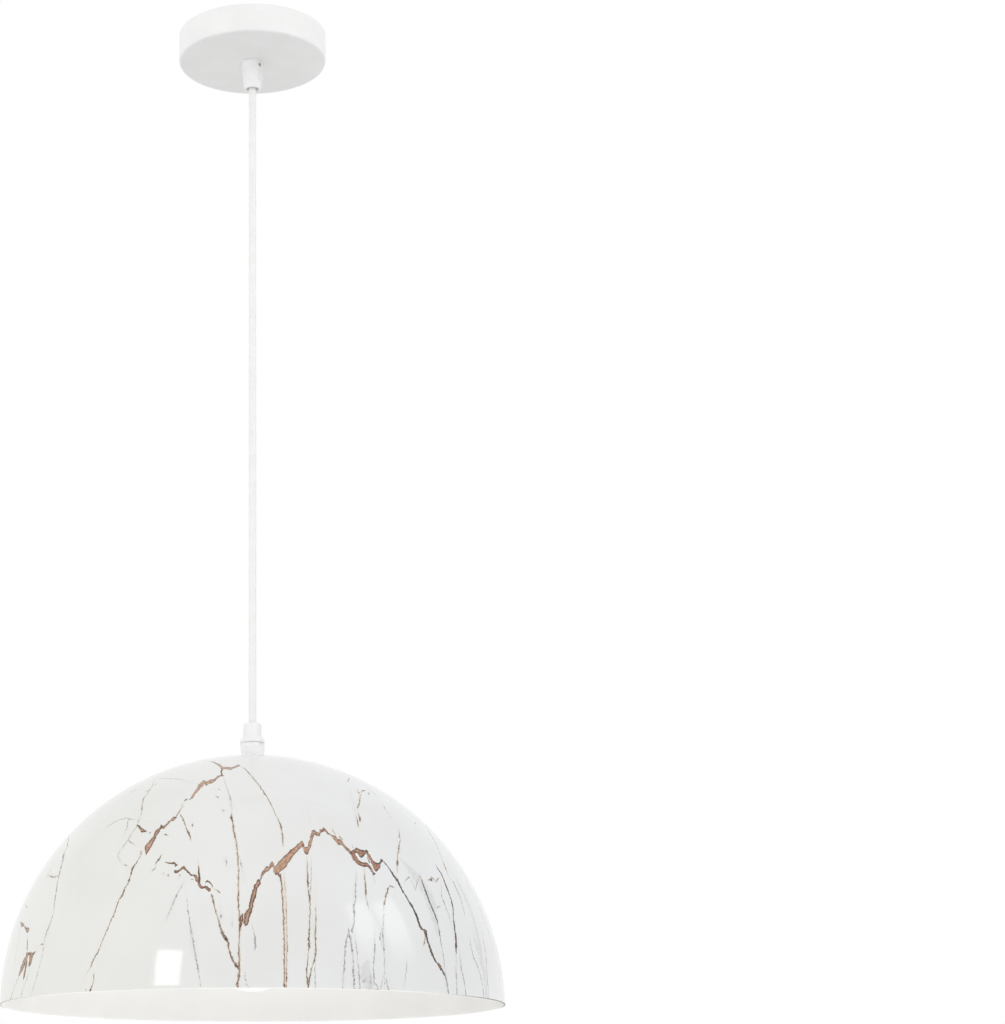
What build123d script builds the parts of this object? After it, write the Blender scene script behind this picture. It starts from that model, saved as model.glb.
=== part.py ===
from build123d import *
import math
import os

os.makedirs("parts", exist_ok=True)

# A dome pendant light, in millimetres. The ceiling is the plane z = 0 and the lamp hangs down
# from it. The viewer of the photograph stands on the -Y side, with +X on the right.

# Overall sizes
shade_r = 175.0
canopy_r = 56.0
canopy_h = 22.0
cord_r = 2.8
cord_shown = 489.5

# Clearances
fit_gap = 0.1
turn_gap = 0.3
spring_gap = 0.3
bush_gap = 0.45

# Threaded tubes, nuts and washers of both ends
thread_r = 4.9
tube_bore_r = 3.6
tube_hole_r = thread_r + turn_gap
tapped_r = thread_r + fit_gap
tube_chamfer = 0.4
bore_cone_h = 1.0
nut_flats = 14.0
nut_h = 3.0

# Cores inside the sheath
core_r = 1.0
core_ring_r = 1.35
core_angles = (90.0, 210.0, 330.0)
core_over = 2.8
bend_share = 0.45

# Ceiling bracket
bracket_t = 1.5
bracket_w = 18.0
bracket_len = 90.0
bracket_hat_w = 38.0
bracket_hat_drop = 11.5
bracket_bend_r = 2.0
slot_pitch = 64.0
slot_len = 14.0
slot_w = 4.5

# Canopy
canopy_t = 1.0
canopy_edge_r = 1.8

# Cord grips: the flat pad looks to the viewer's right
pad_turn = -41.0
pad_out = Vector(1, 0, 0).rotate(Axis.Z, pad_turn)
pad_side = Vector(0, 0, 1).cross(pad_out)
pad_plane = Plane(origin=(0, 0, 0), x_dir=pad_side, z_dir=pad_out)
mouth_r = 4.2
mouth_flare = 0.8
pivot_depth = 1.2
bush_out_r = 3.9
bush_in_r = cord_r + bush_gap
bush_hole_r = 1.8
cavity_depth = pivot_depth + bush_out_r + turn_gap
grip_neck_r = cord_r + fit_gap

# Upper grip
grip_h = 22.0
grip_top_r = 8.4
grip_mouth_out_r = 6.3
grip_edge_r = 0.8
grip_tapped_h = 10.5
grip_pad_w = 5.7
grip_pad_face = 7.6
grip_pad_h = 15.0
grub_r = 1.5
grub_drop = 3.3
grub_recess = 0.9
grub_key_r = 0.75
grub_key_depth = 1.0

# Lower grip
cap_h = 15.0
cap_top_r = 6.5
cap_shoulder_r = 2.6
cap_waist_r = 6.8
cap_waist_drop = 9.0
cap_flare_drop = 13.4
cap_flare_r = 8.8
cap_pad_w = 5.0
cap_pad_h = 10.0
cap_pad_face = 6.2
base_h = 10.3
base_ring_h = 2.6
base_foot_r = 7.6
base_pad_face = 7.9
spigot_r = 5.4
spigot_bore_r = cord_r + turn_gap
spigot_h = 6.0
teeth = 36
notch_w = 0.75
notch_h = 0.7
tooth_w = 0.45
tooth_h = 0.5
tooth_in_r = 6.9
tooth_out_r = 8.0

# Shade
shade_t = 1.0
crown_flat_r = 12.0
shade_washer_r = 11.5
shade_washer_t = 1.0

# Tube ends past what they pass through
canopy_tube_up = 5.0
canopy_tube_down = 9.5
shade_tube_up = 8.3
shade_tube_down = 8.2

# Bulb
bulb_len = 121.0
bulb_r = 32.5
bulb_cap_r = 13.1
bulb_cap_h = 22.0
bulb_cap_t = 0.4
bulb_shoulder_h = 3.2
bulb_eye_r = 4.4
bulb_eye_h = 2.0
bulb_neck_r = bulb_cap_r + 1.3
bulb_neck_h = 2.0
insulator_top_r = 5.4
insulator_low_r = bulb_cap_r - 2.0
bulb_lens_rise = 8.5
bulb_lens_t = 1.6
board_r = 26.0
board_t = 1.6

# Lampholder: its shell fits the bulb's cap, and the rest is built out from the shell
holder_wall = 1.2
shell_in_r = bulb_cap_r + 0.4
insert_r = shell_in_r + 3.5
holder_r = insert_r + 2 * holder_wall + fit_gap
holder_neck_r = 7.5
holder_neck_h = 8.0
holder_dome_h = 12.0
holder_cap_h = 31.0
holder_lap_h = 6.0
insert_top = 21.0
insert_h = 13.0
insert_well_r = 6.0
insert_well_depth = 5.0
post_w = 8.0
post_len = 9.0
post_h = 5.0
post_at = 9.5
earth_post_w = 7.0
earth_post_len = 6.0
flutes = 36
flute_r = 0.6
flute_margin = 2.0
screw_r = 1.5
screw_head_r = 2.6
screw_head_h = 1.6
screw_reach = 1.25
driver_slot_w = 0.6
driver_slot_depth = 0.8
shell_t = 0.4
shell_h = 22.0
shell_rib_pitch = 3.63
shell_rib_rise = 0.35
skirt_h = 32.0
skirt_mouth_r = bulb_neck_r + 1.2
skirt_lip_h = 2.5
skirt_ledge_r = insert_r - 2.0
skirt_ledge_h = 1.5
contact_t = 0.5
contact_w = 5.0
contact_reach = 7.0
contact_drop = 4.2
contact_inset = 1.0

# Terminal block in the canopy
block_len = 28.0
block_w = 16.0
block_h = 12.5
block_edge_r = 1.0
block_at_y = 24.0
pole_pitch = 9.0
barrel_r = 2.4
barrel_bore_r = 1.45
barrel_rise = 6.0
barrel_inset = 2.0
block_screw_r = 1.3
block_screw_inset = 4.2
block_screw_sink = 1.0

# Earth stud in the canopy
stud_at = (-27.0, 24.0)
stud_r = 1.95
stud_h = 10.0
stud_nut_flats = 7.0
stud_nut_h = 3.0
tag_r = 4.0
tag_t = 0.8
tag_tail = 9.0
link_turn = 0.75

# Levels, from the ceiling down
canopy_floor = -canopy_h + canopy_t
canopy_under = -canopy_h
upper_mouth = canopy_under - grip_h
upper_pivot = upper_mouth + pivot_depth
lower_mouth = upper_mouth - cord_shown
lower_pivot = lower_mouth - pivot_depth
seam = lower_mouth - cap_h
crown = seam - base_h
rim = crown - math.sqrt(shade_r**2 - crown_flat_r**2)
crown_inner = crown - shade_t
shade_in_r = shade_r - shade_t
crown_inner_r = math.sqrt(shade_in_r**2 - (crown_inner - rim) ** 2)
washer_under = crown_inner - shade_washer_t
holder_top = washer_under - nut_h
dome_start = holder_top - holder_neck_h
dome_end = dome_start - holder_dome_h
holder_seam = holder_top - holder_cap_h
insert_face = holder_top - insert_top
insert_under = insert_face - insert_h
contact_under = insert_under - contact_drop
bulb_top = contact_under - spring_gap
bulb_low = bulb_top - bulb_len
bulb_centre = bulb_low + bulb_r
cap_end = bulb_top - bulb_eye_h - bulb_shoulder_h - bulb_cap_h
lens_top = bulb_centre + bulb_lens_rise
lens_top_r = math.sqrt(bulb_r**2 - bulb_lens_rise**2)
hat_under = -bracket_hat_drop
canopy_tube_top = hat_under + bracket_t + canopy_tube_up
canopy_tube_low = canopy_under - canopy_tube_down
shade_tube_top = crown + shade_tube_up
shade_tube_low = holder_top - shade_tube_down
sheath_top = canopy_tube_top - 2 * core_r
sheath_low = shade_tube_low - 2 * core_r
barrel_level = canopy_floor + barrel_rise


def corner_radii(points):
    """Gives each corner of a core's route the largest even arc that its two runs allow."""
    radii = []
    for before, here, after in zip(points, points[1:], points[2:]):
        run_in = Vector(*here) - Vector(*before)
        run_out = Vector(*after) - Vector(*here)
        turn = math.radians(run_in.get_angle(run_out))
        radii.append(bend_share * min(run_in.length, run_out.length) / math.tan(turn / 2))
    print("core radii", [round(radius, 1) for radius in radii])
    return radii


def ring_point(angle, level):
    """Gives the place of a core inside the sheath."""
    turn = math.radians(angle)
    return (core_ring_r * math.cos(turn), core_ring_r * math.sin(turn), level)


# Ceiling bracket: a hat-shaped strap with two slots and a centre hole
with BuildPart() as ceiling_bracket:
    foot_line = -bracket_t / 2
    hat_line = hat_under + bracket_t / 2
    with BuildSketch(Plane.XZ):
        with BuildLine():
            FilletPolyline(
                (-bracket_len / 2, foot_line),
                (-bracket_hat_w / 2, foot_line),
                (-bracket_hat_w / 2, hat_line),
                (bracket_hat_w / 2, hat_line),
                (bracket_hat_w / 2, foot_line),
                (bracket_len / 2, foot_line),
                radius=bracket_bend_r,
            )
        trace(line_width=bracket_t)
    extrude(amount=bracket_w / 2, both=True)
    with BuildSketch(Plane.XY):
        with GridLocations(slot_pitch, 1, 2, 1):
            SlotOverall(slot_len, slot_w)
    extrude(amount=-2 * bracket_t, mode=Mode.SUBTRACT)
    with Locations((0, 0, hat_under)):
        Hole(tapped_r, depth=2 * bracket_t)
ceiling_bracket.part.label = "ceiling_bracket"
export_step(ceiling_bracket.part, "parts/ceiling_bracket.step")

# Hollow threaded tube from the bracket down through the canopy
with BuildPart() as canopy_tube:
    with BuildSketch(Plane.XY.offset(canopy_tube_low)):
        Circle(thread_r)
        Circle(tube_bore_r, mode=Mode.SUBTRACT)
    extrude(amount=canopy_tube_top - canopy_tube_low)
    chamfer(canopy_tube.edges().filter_by(GeomType.CIRCLE).group_by(SortBy.RADIUS)[-1], tube_chamfer)
canopy_tube.part.label = "canopy_tube"
export_step(canopy_tube.part, "parts/canopy_tube.step")

# Two thin nuts clamp the tube to the bracket
with BuildPart() as canopy_tube_nuts:
    for level in (hat_under + bracket_t, hat_under - nut_h):
        with BuildSketch(Plane.XY.offset(level)):
            RegularPolygon(nut_flats / 2, 6, major_radius=False)
            Circle(tapped_r, mode=Mode.SUBTRACT)
        extrude(amount=nut_h)
canopy_tube_nuts.part.label = "canopy_tube_nuts"
export_step(canopy_tube_nuts.part, "parts/canopy_tube_nuts.step")

# Canopy: a shallow pressed cup, open to the ceiling
with BuildPart() as canopy:
    with BuildSketch(Plane.XY.offset(canopy_under)):
        Circle(canopy_r)
    extrude(amount=canopy_h)
    fillet(canopy.edges().sort_by(Axis.Z)[0], canopy_edge_r)
    offset(amount=-canopy_t, openings=canopy.faces().sort_by(Axis.Z)[-1])
    with Locations((0, 0, canopy_under)):
        Hole(tube_hole_r, depth=2 * canopy_t)
canopy.part.label = "canopy"
export_step(canopy.part, "parts/canopy.step")

# Upper grip: a tapered body with a flat pad for the grub screw
with BuildPart() as canopy_grip:
    with BuildSketch(Plane.XY.offset(canopy_under)):
        Circle(grip_top_r)
    with BuildSketch(Plane.XY.offset(upper_mouth)):
        Circle(grip_mouth_out_r)
    loft()
    fillet(canopy_grip.edges().sort_by(Axis.Z)[0], grip_edge_r)
    pad_mid = canopy_under - grip_pad_h / 2
    with BuildSketch(pad_plane.offset(grip_pad_face)):
        with Locations((0, pad_mid)):
            Rectangle(grip_pad_w, grip_pad_h)
    extrude(amount=grip_top_r, mode=Mode.SUBTRACT)
    with BuildSketch(pad_plane):
        with Locations((0, pad_mid)):
            Rectangle(grip_pad_w, grip_pad_h)
    extrude(amount=grip_pad_face)
    with BuildSketch(Plane.XZ):
        with BuildLine():
            Polyline(
                (0, canopy_under),
                (tapped_r, canopy_under),
                (tapped_r, canopy_under - grip_tapped_h),
                (grip_neck_r, canopy_under - grip_tapped_h - bore_cone_h),
                (grip_neck_r, upper_mouth + cavity_depth),
                (mouth_r, upper_mouth + cavity_depth),
                (mouth_r, upper_mouth + mouth_flare),
                (mouth_r + mouth_flare, upper_mouth),
                (0, upper_mouth),
                close=True,
            )
        make_face()
    revolve(axis=Axis.Z, mode=Mode.SUBTRACT)
    with BuildSketch(pad_plane.offset(thread_r)):
        with Locations((0, canopy_under - grub_drop)):
            Circle(grub_r)
    extrude(amount=grip_top_r, mode=Mode.SUBTRACT)
canopy_grip.part.label = "canopy_grip"
export_step(canopy_grip.part, "parts/canopy_grip.step")

# Grub screw that locks the upper grip to the tube
with BuildPart() as canopy_grip_screw:
    grub_len = grip_pad_face - grub_recess - thread_r
    with BuildSketch(pad_plane.offset(thread_r)):
        with Locations((0, canopy_under - grub_drop)):
            Circle(grub_r - fit_gap)
    extrude(amount=grub_len)
    with BuildSketch(pad_plane.offset(thread_r + grub_len)):
        with Locations((0, canopy_under - grub_drop)):
            RegularPolygon(grub_key_r, 6, major_radius=False)
    extrude(amount=-grub_key_depth, mode=Mode.SUBTRACT)
canopy_grip_screw.part.label = "canopy_grip_screw"
export_step(canopy_grip_screw.part, "parts/canopy_grip_screw.step")


def bush_outline(pivot, way):
    """Draws half the section of a cup-shaped bush round a pivot; way is 1 for a cup above it."""
    hole_out = math.sqrt(bush_out_r**2 - bush_hole_r**2)
    hole_in = math.sqrt(bush_in_r**2 - bush_hole_r**2)
    turn = math.sqrt(0.5)
    Line((bush_in_r, pivot), (bush_out_r, pivot))
    ThreePointArc(
        (bush_out_r, pivot),
        (bush_out_r * turn, pivot + way * bush_out_r * turn),
        (bush_hole_r, pivot + way * hole_out),
    )
    Line((bush_hole_r, pivot + way * hole_out), (bush_hole_r, pivot + way * hole_in))
    ThreePointArc(
        (bush_hole_r, pivot + way * hole_in),
        (bush_in_r * turn, pivot + way * bush_in_r * turn),
        (bush_in_r, pivot),
    )


# Soft bush in the upper grip, round the point where the cord bends
with BuildPart() as canopy_grip_bush:
    with BuildSketch(Plane.XZ):
        with BuildLine():
            bush_outline(upper_pivot, 1)
        make_face()
    revolve(axis=Axis.Z)
canopy_grip_bush.part.label = "canopy_grip_bush"
export_step(canopy_grip_bush.part, "parts/canopy_grip_bush.step")

# Sheath held in the upper grip and the tube
with BuildPart() as cord_entry:
    with BuildSketch(Plane.XY.offset(upper_mouth + cavity_depth)):
        Circle(cord_r)
    extrude(amount=sheath_top - upper_mouth - cavity_depth)
cord_entry.part.label = "cord_entry"
export_step(cord_entry.part, "parts/cord_entry.step")

# Free cord: one straight run, with a round end at each pivot
with BuildPart() as cord:
    turn = math.sqrt(0.5)
    with BuildSketch(Plane.XZ):
        with BuildLine():
            ThreePointArc(
                (0, upper_pivot + cord_r),
                (cord_r * turn, upper_pivot + cord_r * turn),
                (cord_r, upper_pivot),
            )
            Line((cord_r, upper_pivot), (cord_r, lower_pivot))
            ThreePointArc(
                (cord_r, lower_pivot),
                (cord_r * turn, lower_pivot - cord_r * turn),
                (0, lower_pivot - cord_r),
            )
            Line((0, lower_pivot - cord_r), (0, upper_pivot + cord_r))
        make_face()
    revolve(axis=Axis.Z)
cord_run = upper_pivot - lower_pivot
cord_volume = math.pi * cord_r**2 * cord_run + 4 / 3 * math.pi * cord_r**3
print("cord run", round(cord_run, 1), "volume ratio", round(cord.part.volume / cord_volume, 4))
cord.part.label = "cord"
export_step(cord.part, "parts/cord.step")

# Soft bush in the lower grip
with BuildPart() as shade_grip_bush:
    with BuildSketch(Plane.XZ):
        with BuildLine():
            bush_outline(lower_pivot, -1)
        make_face()
    revolve(axis=Axis.Z)
shade_grip_bush.part.label = "shade_grip_bush"
export_step(shade_grip_bush.part, "parts/shade_grip_bush.step")

# Lower grip, upper half: tapered, flared to a serrated seam, with a flat pad
with BuildPart() as shade_grip_cap:
    with BuildSketch(Plane.XZ):
        with BuildLine():
            Line((0, lower_mouth), (cap_top_r - cap_shoulder_r, lower_mouth))
            RadiusArc(
                (cap_top_r - cap_shoulder_r, lower_mouth),
                (cap_top_r, lower_mouth - cap_shoulder_r),
                cap_shoulder_r,
            )
            Line((cap_top_r, lower_mouth - cap_shoulder_r), (cap_waist_r, lower_mouth - cap_waist_drop))
            Spline(
                (cap_waist_r, lower_mouth - cap_waist_drop),
                (cap_flare_r, lower_mouth - cap_flare_drop),
                tangents=((0, -1), (0.2, -1)),
            )
            Line((cap_flare_r, lower_mouth - cap_flare_drop), (cap_flare_r, seam))
            Polyline((cap_flare_r, seam), (0, seam), (0, lower_mouth))
        make_face()
    revolve(axis=Axis.Z)
    with BuildSketch(pad_plane.offset(cap_pad_face)):
        with Locations((0, lower_mouth - cap_pad_h / 2)):
            Rectangle(cap_pad_w, cap_pad_h)
    extrude(amount=cap_flare_r, mode=Mode.SUBTRACT)
    with BuildSketch(Plane.XZ):
        with BuildLine():
            Polyline(
                (0, lower_mouth),
                (mouth_r, lower_mouth),
                (mouth_r, lower_mouth - cavity_depth),
                (grip_neck_r, lower_mouth - cavity_depth),
                (grip_neck_r, seam + spigot_h + bore_cone_h),
                (spigot_r + fit_gap, seam + spigot_h + turn_gap),
                (spigot_r + fit_gap, seam),
                (0, seam),
                close=True,
            )
        make_face()
    revolve(axis=Axis.Z, mode=Mode.SUBTRACT)
    with BuildSketch(Plane.XY.offset(seam)):
        with PolarLocations((cap_flare_r + tooth_in_r) / 2, teeth):
            Rectangle(cap_flare_r - tooth_in_r + 2 * fit_gap, notch_w)
    extrude(amount=notch_h, mode=Mode.SUBTRACT)
shade_grip_cap.part.label = "shade_grip_cap"
export_step(shade_grip_cap.part, "parts/shade_grip_cap.step")

# Lower grip, lower half: a tapered foot on the shade, with teeth that seat in the cap's notches
with BuildPart() as shade_grip_base:
    with BuildSketch(Plane.XZ):
        with BuildLine():
            Polyline(
                (tapped_r, crown),
                (base_foot_r, crown),
                (cap_flare_r, seam - base_ring_h),
                (cap_flare_r, seam),
                (spigot_r, seam),
                (spigot_r, seam + spigot_h),
                (spigot_bore_r, seam + spigot_h),
                (spigot_bore_r, shade_tube_top + turn_gap),
                (tapped_r, shade_tube_top + turn_gap),
                close=True,
            )
        make_face()
    revolve(axis=Axis.Z)
    with BuildSketch(pad_plane.offset(base_pad_face)):
        with Locations((0, crown + base_h / 2)):
            Rectangle(2 * cap_flare_r, base_h)
    extrude(amount=cap_flare_r, mode=Mode.SUBTRACT)
    with BuildSketch(Plane.XY.offset(seam)):
        with PolarLocations((tooth_in_r + tooth_out_r) / 2, teeth):
            Rectangle(tooth_out_r - tooth_in_r - 2 * fit_gap, tooth_w)
    extrude(amount=tooth_h)
shade_grip_base.part.label = "shade_grip_base"
export_step(shade_grip_base.part, "parts/shade_grip_base.step")

# Sheath held in the lower grip, down into the lampholder
with BuildPart() as cord_exit:
    with BuildSketch(Plane.XY.offset(sheath_low)):
        Circle(cord_r)
    extrude(amount=lower_mouth - cavity_depth - sheath_low)
cord_exit.part.label = "cord_exit"
export_step(cord_exit.part, "parts/cord_exit.step")

# Shade: a spun half sphere with a small flat at its crown
with BuildPart() as shade:
    with BuildSketch(Plane.XZ):
        with BuildLine():
            outer_end = math.degrees(math.acos(crown_flat_r / shade_r))
            inner_end = math.degrees(math.acos(crown_inner_r / shade_in_r))
            CenterArc((0, rim), shade_r, 0, outer_end)
            Polyline(
                (crown_flat_r, crown),
                (tube_hole_r, crown),
                (tube_hole_r, crown_inner),
                (crown_inner_r, crown_inner),
            )
            CenterArc((0, rim), shade_in_r, inner_end, -inner_end)
            Line((shade_in_r, rim), (shade_r, rim))
        make_face()
    revolve(axis=Axis.Z)
shade.part.label = "shade"
export_step(shade.part, "parts/shade.step")

# Hollow threaded tube through the crown of the shade
with BuildPart() as shade_tube:
    with BuildSketch(Plane.XY.offset(shade_tube_low)):
        Circle(thread_r)
        Circle(tube_bore_r, mode=Mode.SUBTRACT)
    extrude(amount=shade_tube_top - shade_tube_low)
    chamfer(shade_tube.edges().filter_by(GeomType.CIRCLE).group_by(SortBy.RADIUS)[-1], tube_chamfer)
shade_tube.part.label = "shade_tube"
export_step(shade_tube.part, "parts/shade_tube.step")

# Wide washer under the crown
with BuildPart() as shade_washer:
    with BuildSketch(Plane.XY.offset(washer_under)):
        Circle(shade_washer_r)
        Circle(tube_hole_r, mode=Mode.SUBTRACT)
    extrude(amount=shade_washer_t)
shade_washer.part.label = "shade_washer"
export_step(shade_washer.part, "parts/shade_washer.step")

# Thin nut that clamps the shade between its washer and the lower grip
with BuildPart() as shade_nut:
    with BuildSketch(Plane.XY.offset(holder_top)):
        RegularPolygon(nut_flats / 2, 6, major_radius=False)
        Circle(tapped_r, mode=Mode.SUBTRACT)
    extrude(amount=nut_h)
shade_nut.part.label = "shade_nut"
export_step(shade_nut.part, "parts/shade_nut.step")

# Lampholder cap: a tapped neck and a dome over the wire space
with BuildPart() as holder_cap:
    dome_in_r = holder_r - holder_wall
    neck_floor = dome_start - holder_wall
    with BuildSketch(Plane.XZ):
        with BuildLine():
            Polyline((tapped_r, holder_top), (holder_neck_r, holder_top), (holder_neck_r, dome_start))
            Spline(
                (holder_neck_r, dome_start),
                (holder_r, dome_end),
                tangents=((1, -0.25), (0, -1)),
            )
            Polyline((holder_r, dome_end), (holder_r, holder_seam), (dome_in_r, holder_seam))
            Line((dome_in_r, holder_seam), (dome_in_r, dome_end))
            Spline(
                (dome_in_r, dome_end),
                (holder_neck_r, neck_floor),
                tangents=((0, 1), (-1, 0.25)),
            )
            Polyline((holder_neck_r, neck_floor), (tapped_r, neck_floor), (tapped_r, holder_top))
        make_face()
    revolve(axis=Axis.Z)
    with BuildSketch(Plane.XY.offset(holder_seam + flute_margin)):
        with PolarLocations(holder_r, flutes):
            Circle(flute_r)
    extrude(amount=dome_end - holder_seam - 2 * flute_margin, mode=Mode.SUBTRACT)
holder_cap.part.label = "holder_cap"
export_step(holder_cap.part, "parts/holder_cap.step")

# Ceramic insert: three wire posts on top, a well for the centre contact below
post_places = ((-post_at, 0), (post_at, 0), (0, post_at))
wire_level = insert_face + post_h / 2
earth_post_y = post_at - earth_post_len / 2
with BuildPart() as holder_insert:
    with BuildSketch(Plane.XY.offset(insert_under)):
        Circle(insert_r)
    extrude(amount=insert_h)
    with BuildSketch(Plane.XY.offset(insert_face)):
        with Locations(*post_places[:2]):
            Rectangle(post_w, post_len)
        with Locations(post_places[2]):
            Rectangle(earth_post_w, earth_post_len)
    extrude(amount=post_h)
    with BuildSketch(Plane.XY.offset(insert_face + post_h)):
        with Locations(*post_places):
            Circle(screw_r + fit_gap)
    extrude(amount=-post_h, mode=Mode.SUBTRACT)
    with BuildSketch(Plane.XY.offset(insert_under)):
        Circle(insert_well_r)
    extrude(amount=insert_well_depth, mode=Mode.SUBTRACT)
    with BuildSketch(Plane.XZ.offset(post_len / 2)):
        with Locations((-post_at, wire_level), (post_at, wire_level)):
            Circle(core_r + fit_gap)
    extrude(amount=screw_r - post_len / 2, mode=Mode.SUBTRACT)
    with BuildSketch(Plane.XZ.offset(-earth_post_y)):
        with Locations((0, wire_level)):
            Circle(core_r + fit_gap)
    extrude(amount=screw_r - earth_post_len / 2, mode=Mode.SUBTRACT)
holder_insert.part.label = "holder_insert"
export_step(holder_insert.part, "parts/holder_insert.step")

# Three wire screws in the posts: live, neutral and earth
with BuildPart() as holder_screws:
    head_under = insert_face + post_h
    with BuildSketch(Plane.XY.offset(head_under)):
        with Locations(*post_places):
            Circle(screw_r)
    extrude(amount=-screw_reach)
    with BuildSketch(Plane.XY.offset(head_under)):
        with Locations(*post_places):
            Circle(screw_head_r)
    extrude(amount=screw_head_h)
    with BuildSketch(Plane.XY.offset(head_under + screw_head_h)):
        with Locations(*post_places):
            Rectangle(driver_slot_w, 2 * screw_head_r)
    extrude(amount=-driver_slot_depth, mode=Mode.SUBTRACT)
holder_screws.part.label = "holder_screws"
export_step(holder_screws.part, "parts/holder_screws.step")

# Sprung centre contact: a strip fixed in the well, bent down to a flat tip
with BuildPart() as holder_contact:
    well_top = insert_under + insert_well_depth
    half_t = contact_t / 2
    with BuildSketch(Plane.XZ):
        with BuildLine():
            FilletPolyline(
                (insert_well_r - contact_inset, well_top - half_t),
                (contact_inset - insert_well_r, well_top - half_t),
                (-contact_reach / 2, contact_under + half_t),
                (contact_reach / 2, contact_under + half_t),
                radius=contact_t,
            )
        trace(line_width=contact_t)
    extrude(amount=contact_w / 2, both=True)
holder_contact.part.label = "holder_contact"
export_step(holder_contact.part, "parts/holder_contact.step")

# Screw shell: a thin tube with rolled ribs at the thread's pitch
with BuildPart() as holder_shell:
    shell_out_r = shell_in_r + shell_t
    rib_count = int(shell_h / shell_rib_pitch)
    with BuildSketch(Plane.XZ):
        with Locations((shell_in_r + shell_t / 2, insert_under - shell_h / 2)):
            Rectangle(shell_t, shell_h)
        for rib in range(rib_count):
            with Locations((shell_out_r, insert_under - (rib + 0.5) * shell_rib_pitch)):
                Ellipse(shell_rib_rise, shell_rib_pitch / 4)
        with Locations((shell_in_r / 2, insert_under - shell_h / 2)):
            Rectangle(shell_in_r, shell_h, mode=Mode.SUBTRACT)
    revolve(axis=Axis.Z)
holder_shell.part.label = "holder_shell"
export_step(holder_shell.part, "parts/holder_shell.step")

# Skirt round the shell: laps inside the cap, with a ledge for the insert and a lip at its mouth
with BuildPart() as holder_skirt:
    skirt_in_r = holder_r - 2 * holder_wall
    skirt_low = holder_seam - skirt_h
    with BuildSketch(Plane.XZ):
        with BuildLine():
            Polyline(
                (skirt_in_r, holder_seam + holder_lap_h),
                (dome_in_r - fit_gap, holder_seam + holder_lap_h),
                (dome_in_r - fit_gap, holder_seam),
                (holder_r, holder_seam),
                (holder_r, skirt_low),
                (skirt_mouth_r, skirt_low),
                (skirt_mouth_r, skirt_low + skirt_lip_h),
                (skirt_in_r, skirt_low + skirt_lip_h),
                (skirt_in_r, insert_under - skirt_ledge_h),
                (skirt_ledge_r, insert_under - skirt_ledge_h),
                (skirt_ledge_r, insert_under),
                (skirt_in_r, insert_under),
                close=True,
            )
        make_face()
    revolve(axis=Axis.Z)
    with BuildSketch(Plane.XY.offset(skirt_low + 2 * flute_margin)):
        with PolarLocations(holder_r, flutes):
            Circle(flute_r)
    extrude(amount=skirt_h - 3 * flute_margin, mode=Mode.SUBTRACT)
holder_skirt.part.label = "holder_skirt"
export_step(holder_skirt.part, "parts/holder_skirt.step")

# Bulb eye: the contact button at the tip of the bulb's cap
with BuildPart() as bulb_eye:
    with BuildSketch(Plane.XY.offset(bulb_top - bulb_eye_h)):
        Circle(bulb_eye_r)
    extrude(amount=bulb_eye_h)
    fillet(bulb_eye.edges().sort_by(Axis.Z)[-1], bulb_eye_h / 2)
bulb_eye.part.label = "bulb_eye"
export_step(bulb_eye.part, "parts/bulb_eye.step")

# Bulb insulator: the dark cone between the eye and the cap
with BuildPart() as bulb_insulator:
    shoulder_top = bulb_top - bulb_eye_h
    with BuildSketch(Plane.XY.offset(shoulder_top)):
        Circle(insulator_top_r)
    with BuildSketch(Plane.XY.offset(shoulder_top - bulb_shoulder_h)):
        Circle(insulator_low_r)
    loft()
bulb_insulator.part.label = "bulb_insulator"
export_step(bulb_insulator.part, "parts/bulb_insulator.step")

# Bulb cap: the metal screw shell, ribbed at the thread's pitch
with BuildPart() as bulb_cap:
    cap_top = shoulder_top - bulb_shoulder_h
    cap_in_r = bulb_cap_r - shell_rib_rise - bulb_cap_t
    rib_total = int(bulb_cap_h / shell_rib_pitch)
    with BuildSketch(Plane.XZ):
        with Locations((cap_in_r + bulb_cap_t / 2, cap_top - bulb_cap_h / 2)):
            Rectangle(bulb_cap_t, bulb_cap_h)
        with Locations(((insulator_low_r + cap_in_r) / 2, cap_top - bulb_cap_t / 2)):
            Rectangle(cap_in_r - insulator_low_r + bulb_cap_t, bulb_cap_t)
        for rib in range(rib_total):
            with Locations((bulb_cap_r - shell_rib_rise, cap_top - (rib + 0.75) * shell_rib_pitch)):
                Ellipse(shell_rib_rise, shell_rib_pitch / 4)
    revolve(axis=Axis.Z)
bulb_cap.part.label = "bulb_cap"
export_step(bulb_cap.part, "parts/bulb_cap.step")

# Bulb housing: the solid plastic body that swells from the cap to the lens
with BuildPart() as bulb_housing:
    with BuildSketch(Plane.XZ):
        with BuildLine():
            Polyline(
                (0, cap_end + bulb_cap_h / 2),
                (cap_in_r - fit_gap, cap_end + bulb_cap_h / 2),
                (cap_in_r - fit_gap, cap_end),
                (bulb_neck_r, cap_end),
                (bulb_neck_r, cap_end - bulb_neck_h),
            )
            Spline(
                (bulb_neck_r, cap_end - bulb_neck_h),
                (lens_top_r, lens_top),
                tangents=((0.15, -1), (0.25, -1)),
            )
            Polyline((lens_top_r, lens_top), (0, lens_top), (0, cap_end + bulb_cap_h / 2))
        make_face()
    revolve(axis=Axis.Z)
bulb_housing.part.label = "bulb_housing"
export_step(bulb_housing.part, "parts/bulb_housing.step")

# Light board: a thin disc under the housing, inside the lens
with BuildPart() as bulb_board:
    with BuildSketch(Plane.XY.offset(lens_top)):
        Circle(board_r)
    extrude(amount=-board_t)
bulb_board.part.label = "bulb_board"
export_step(bulb_board.part, "parts/bulb_board.step")

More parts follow.
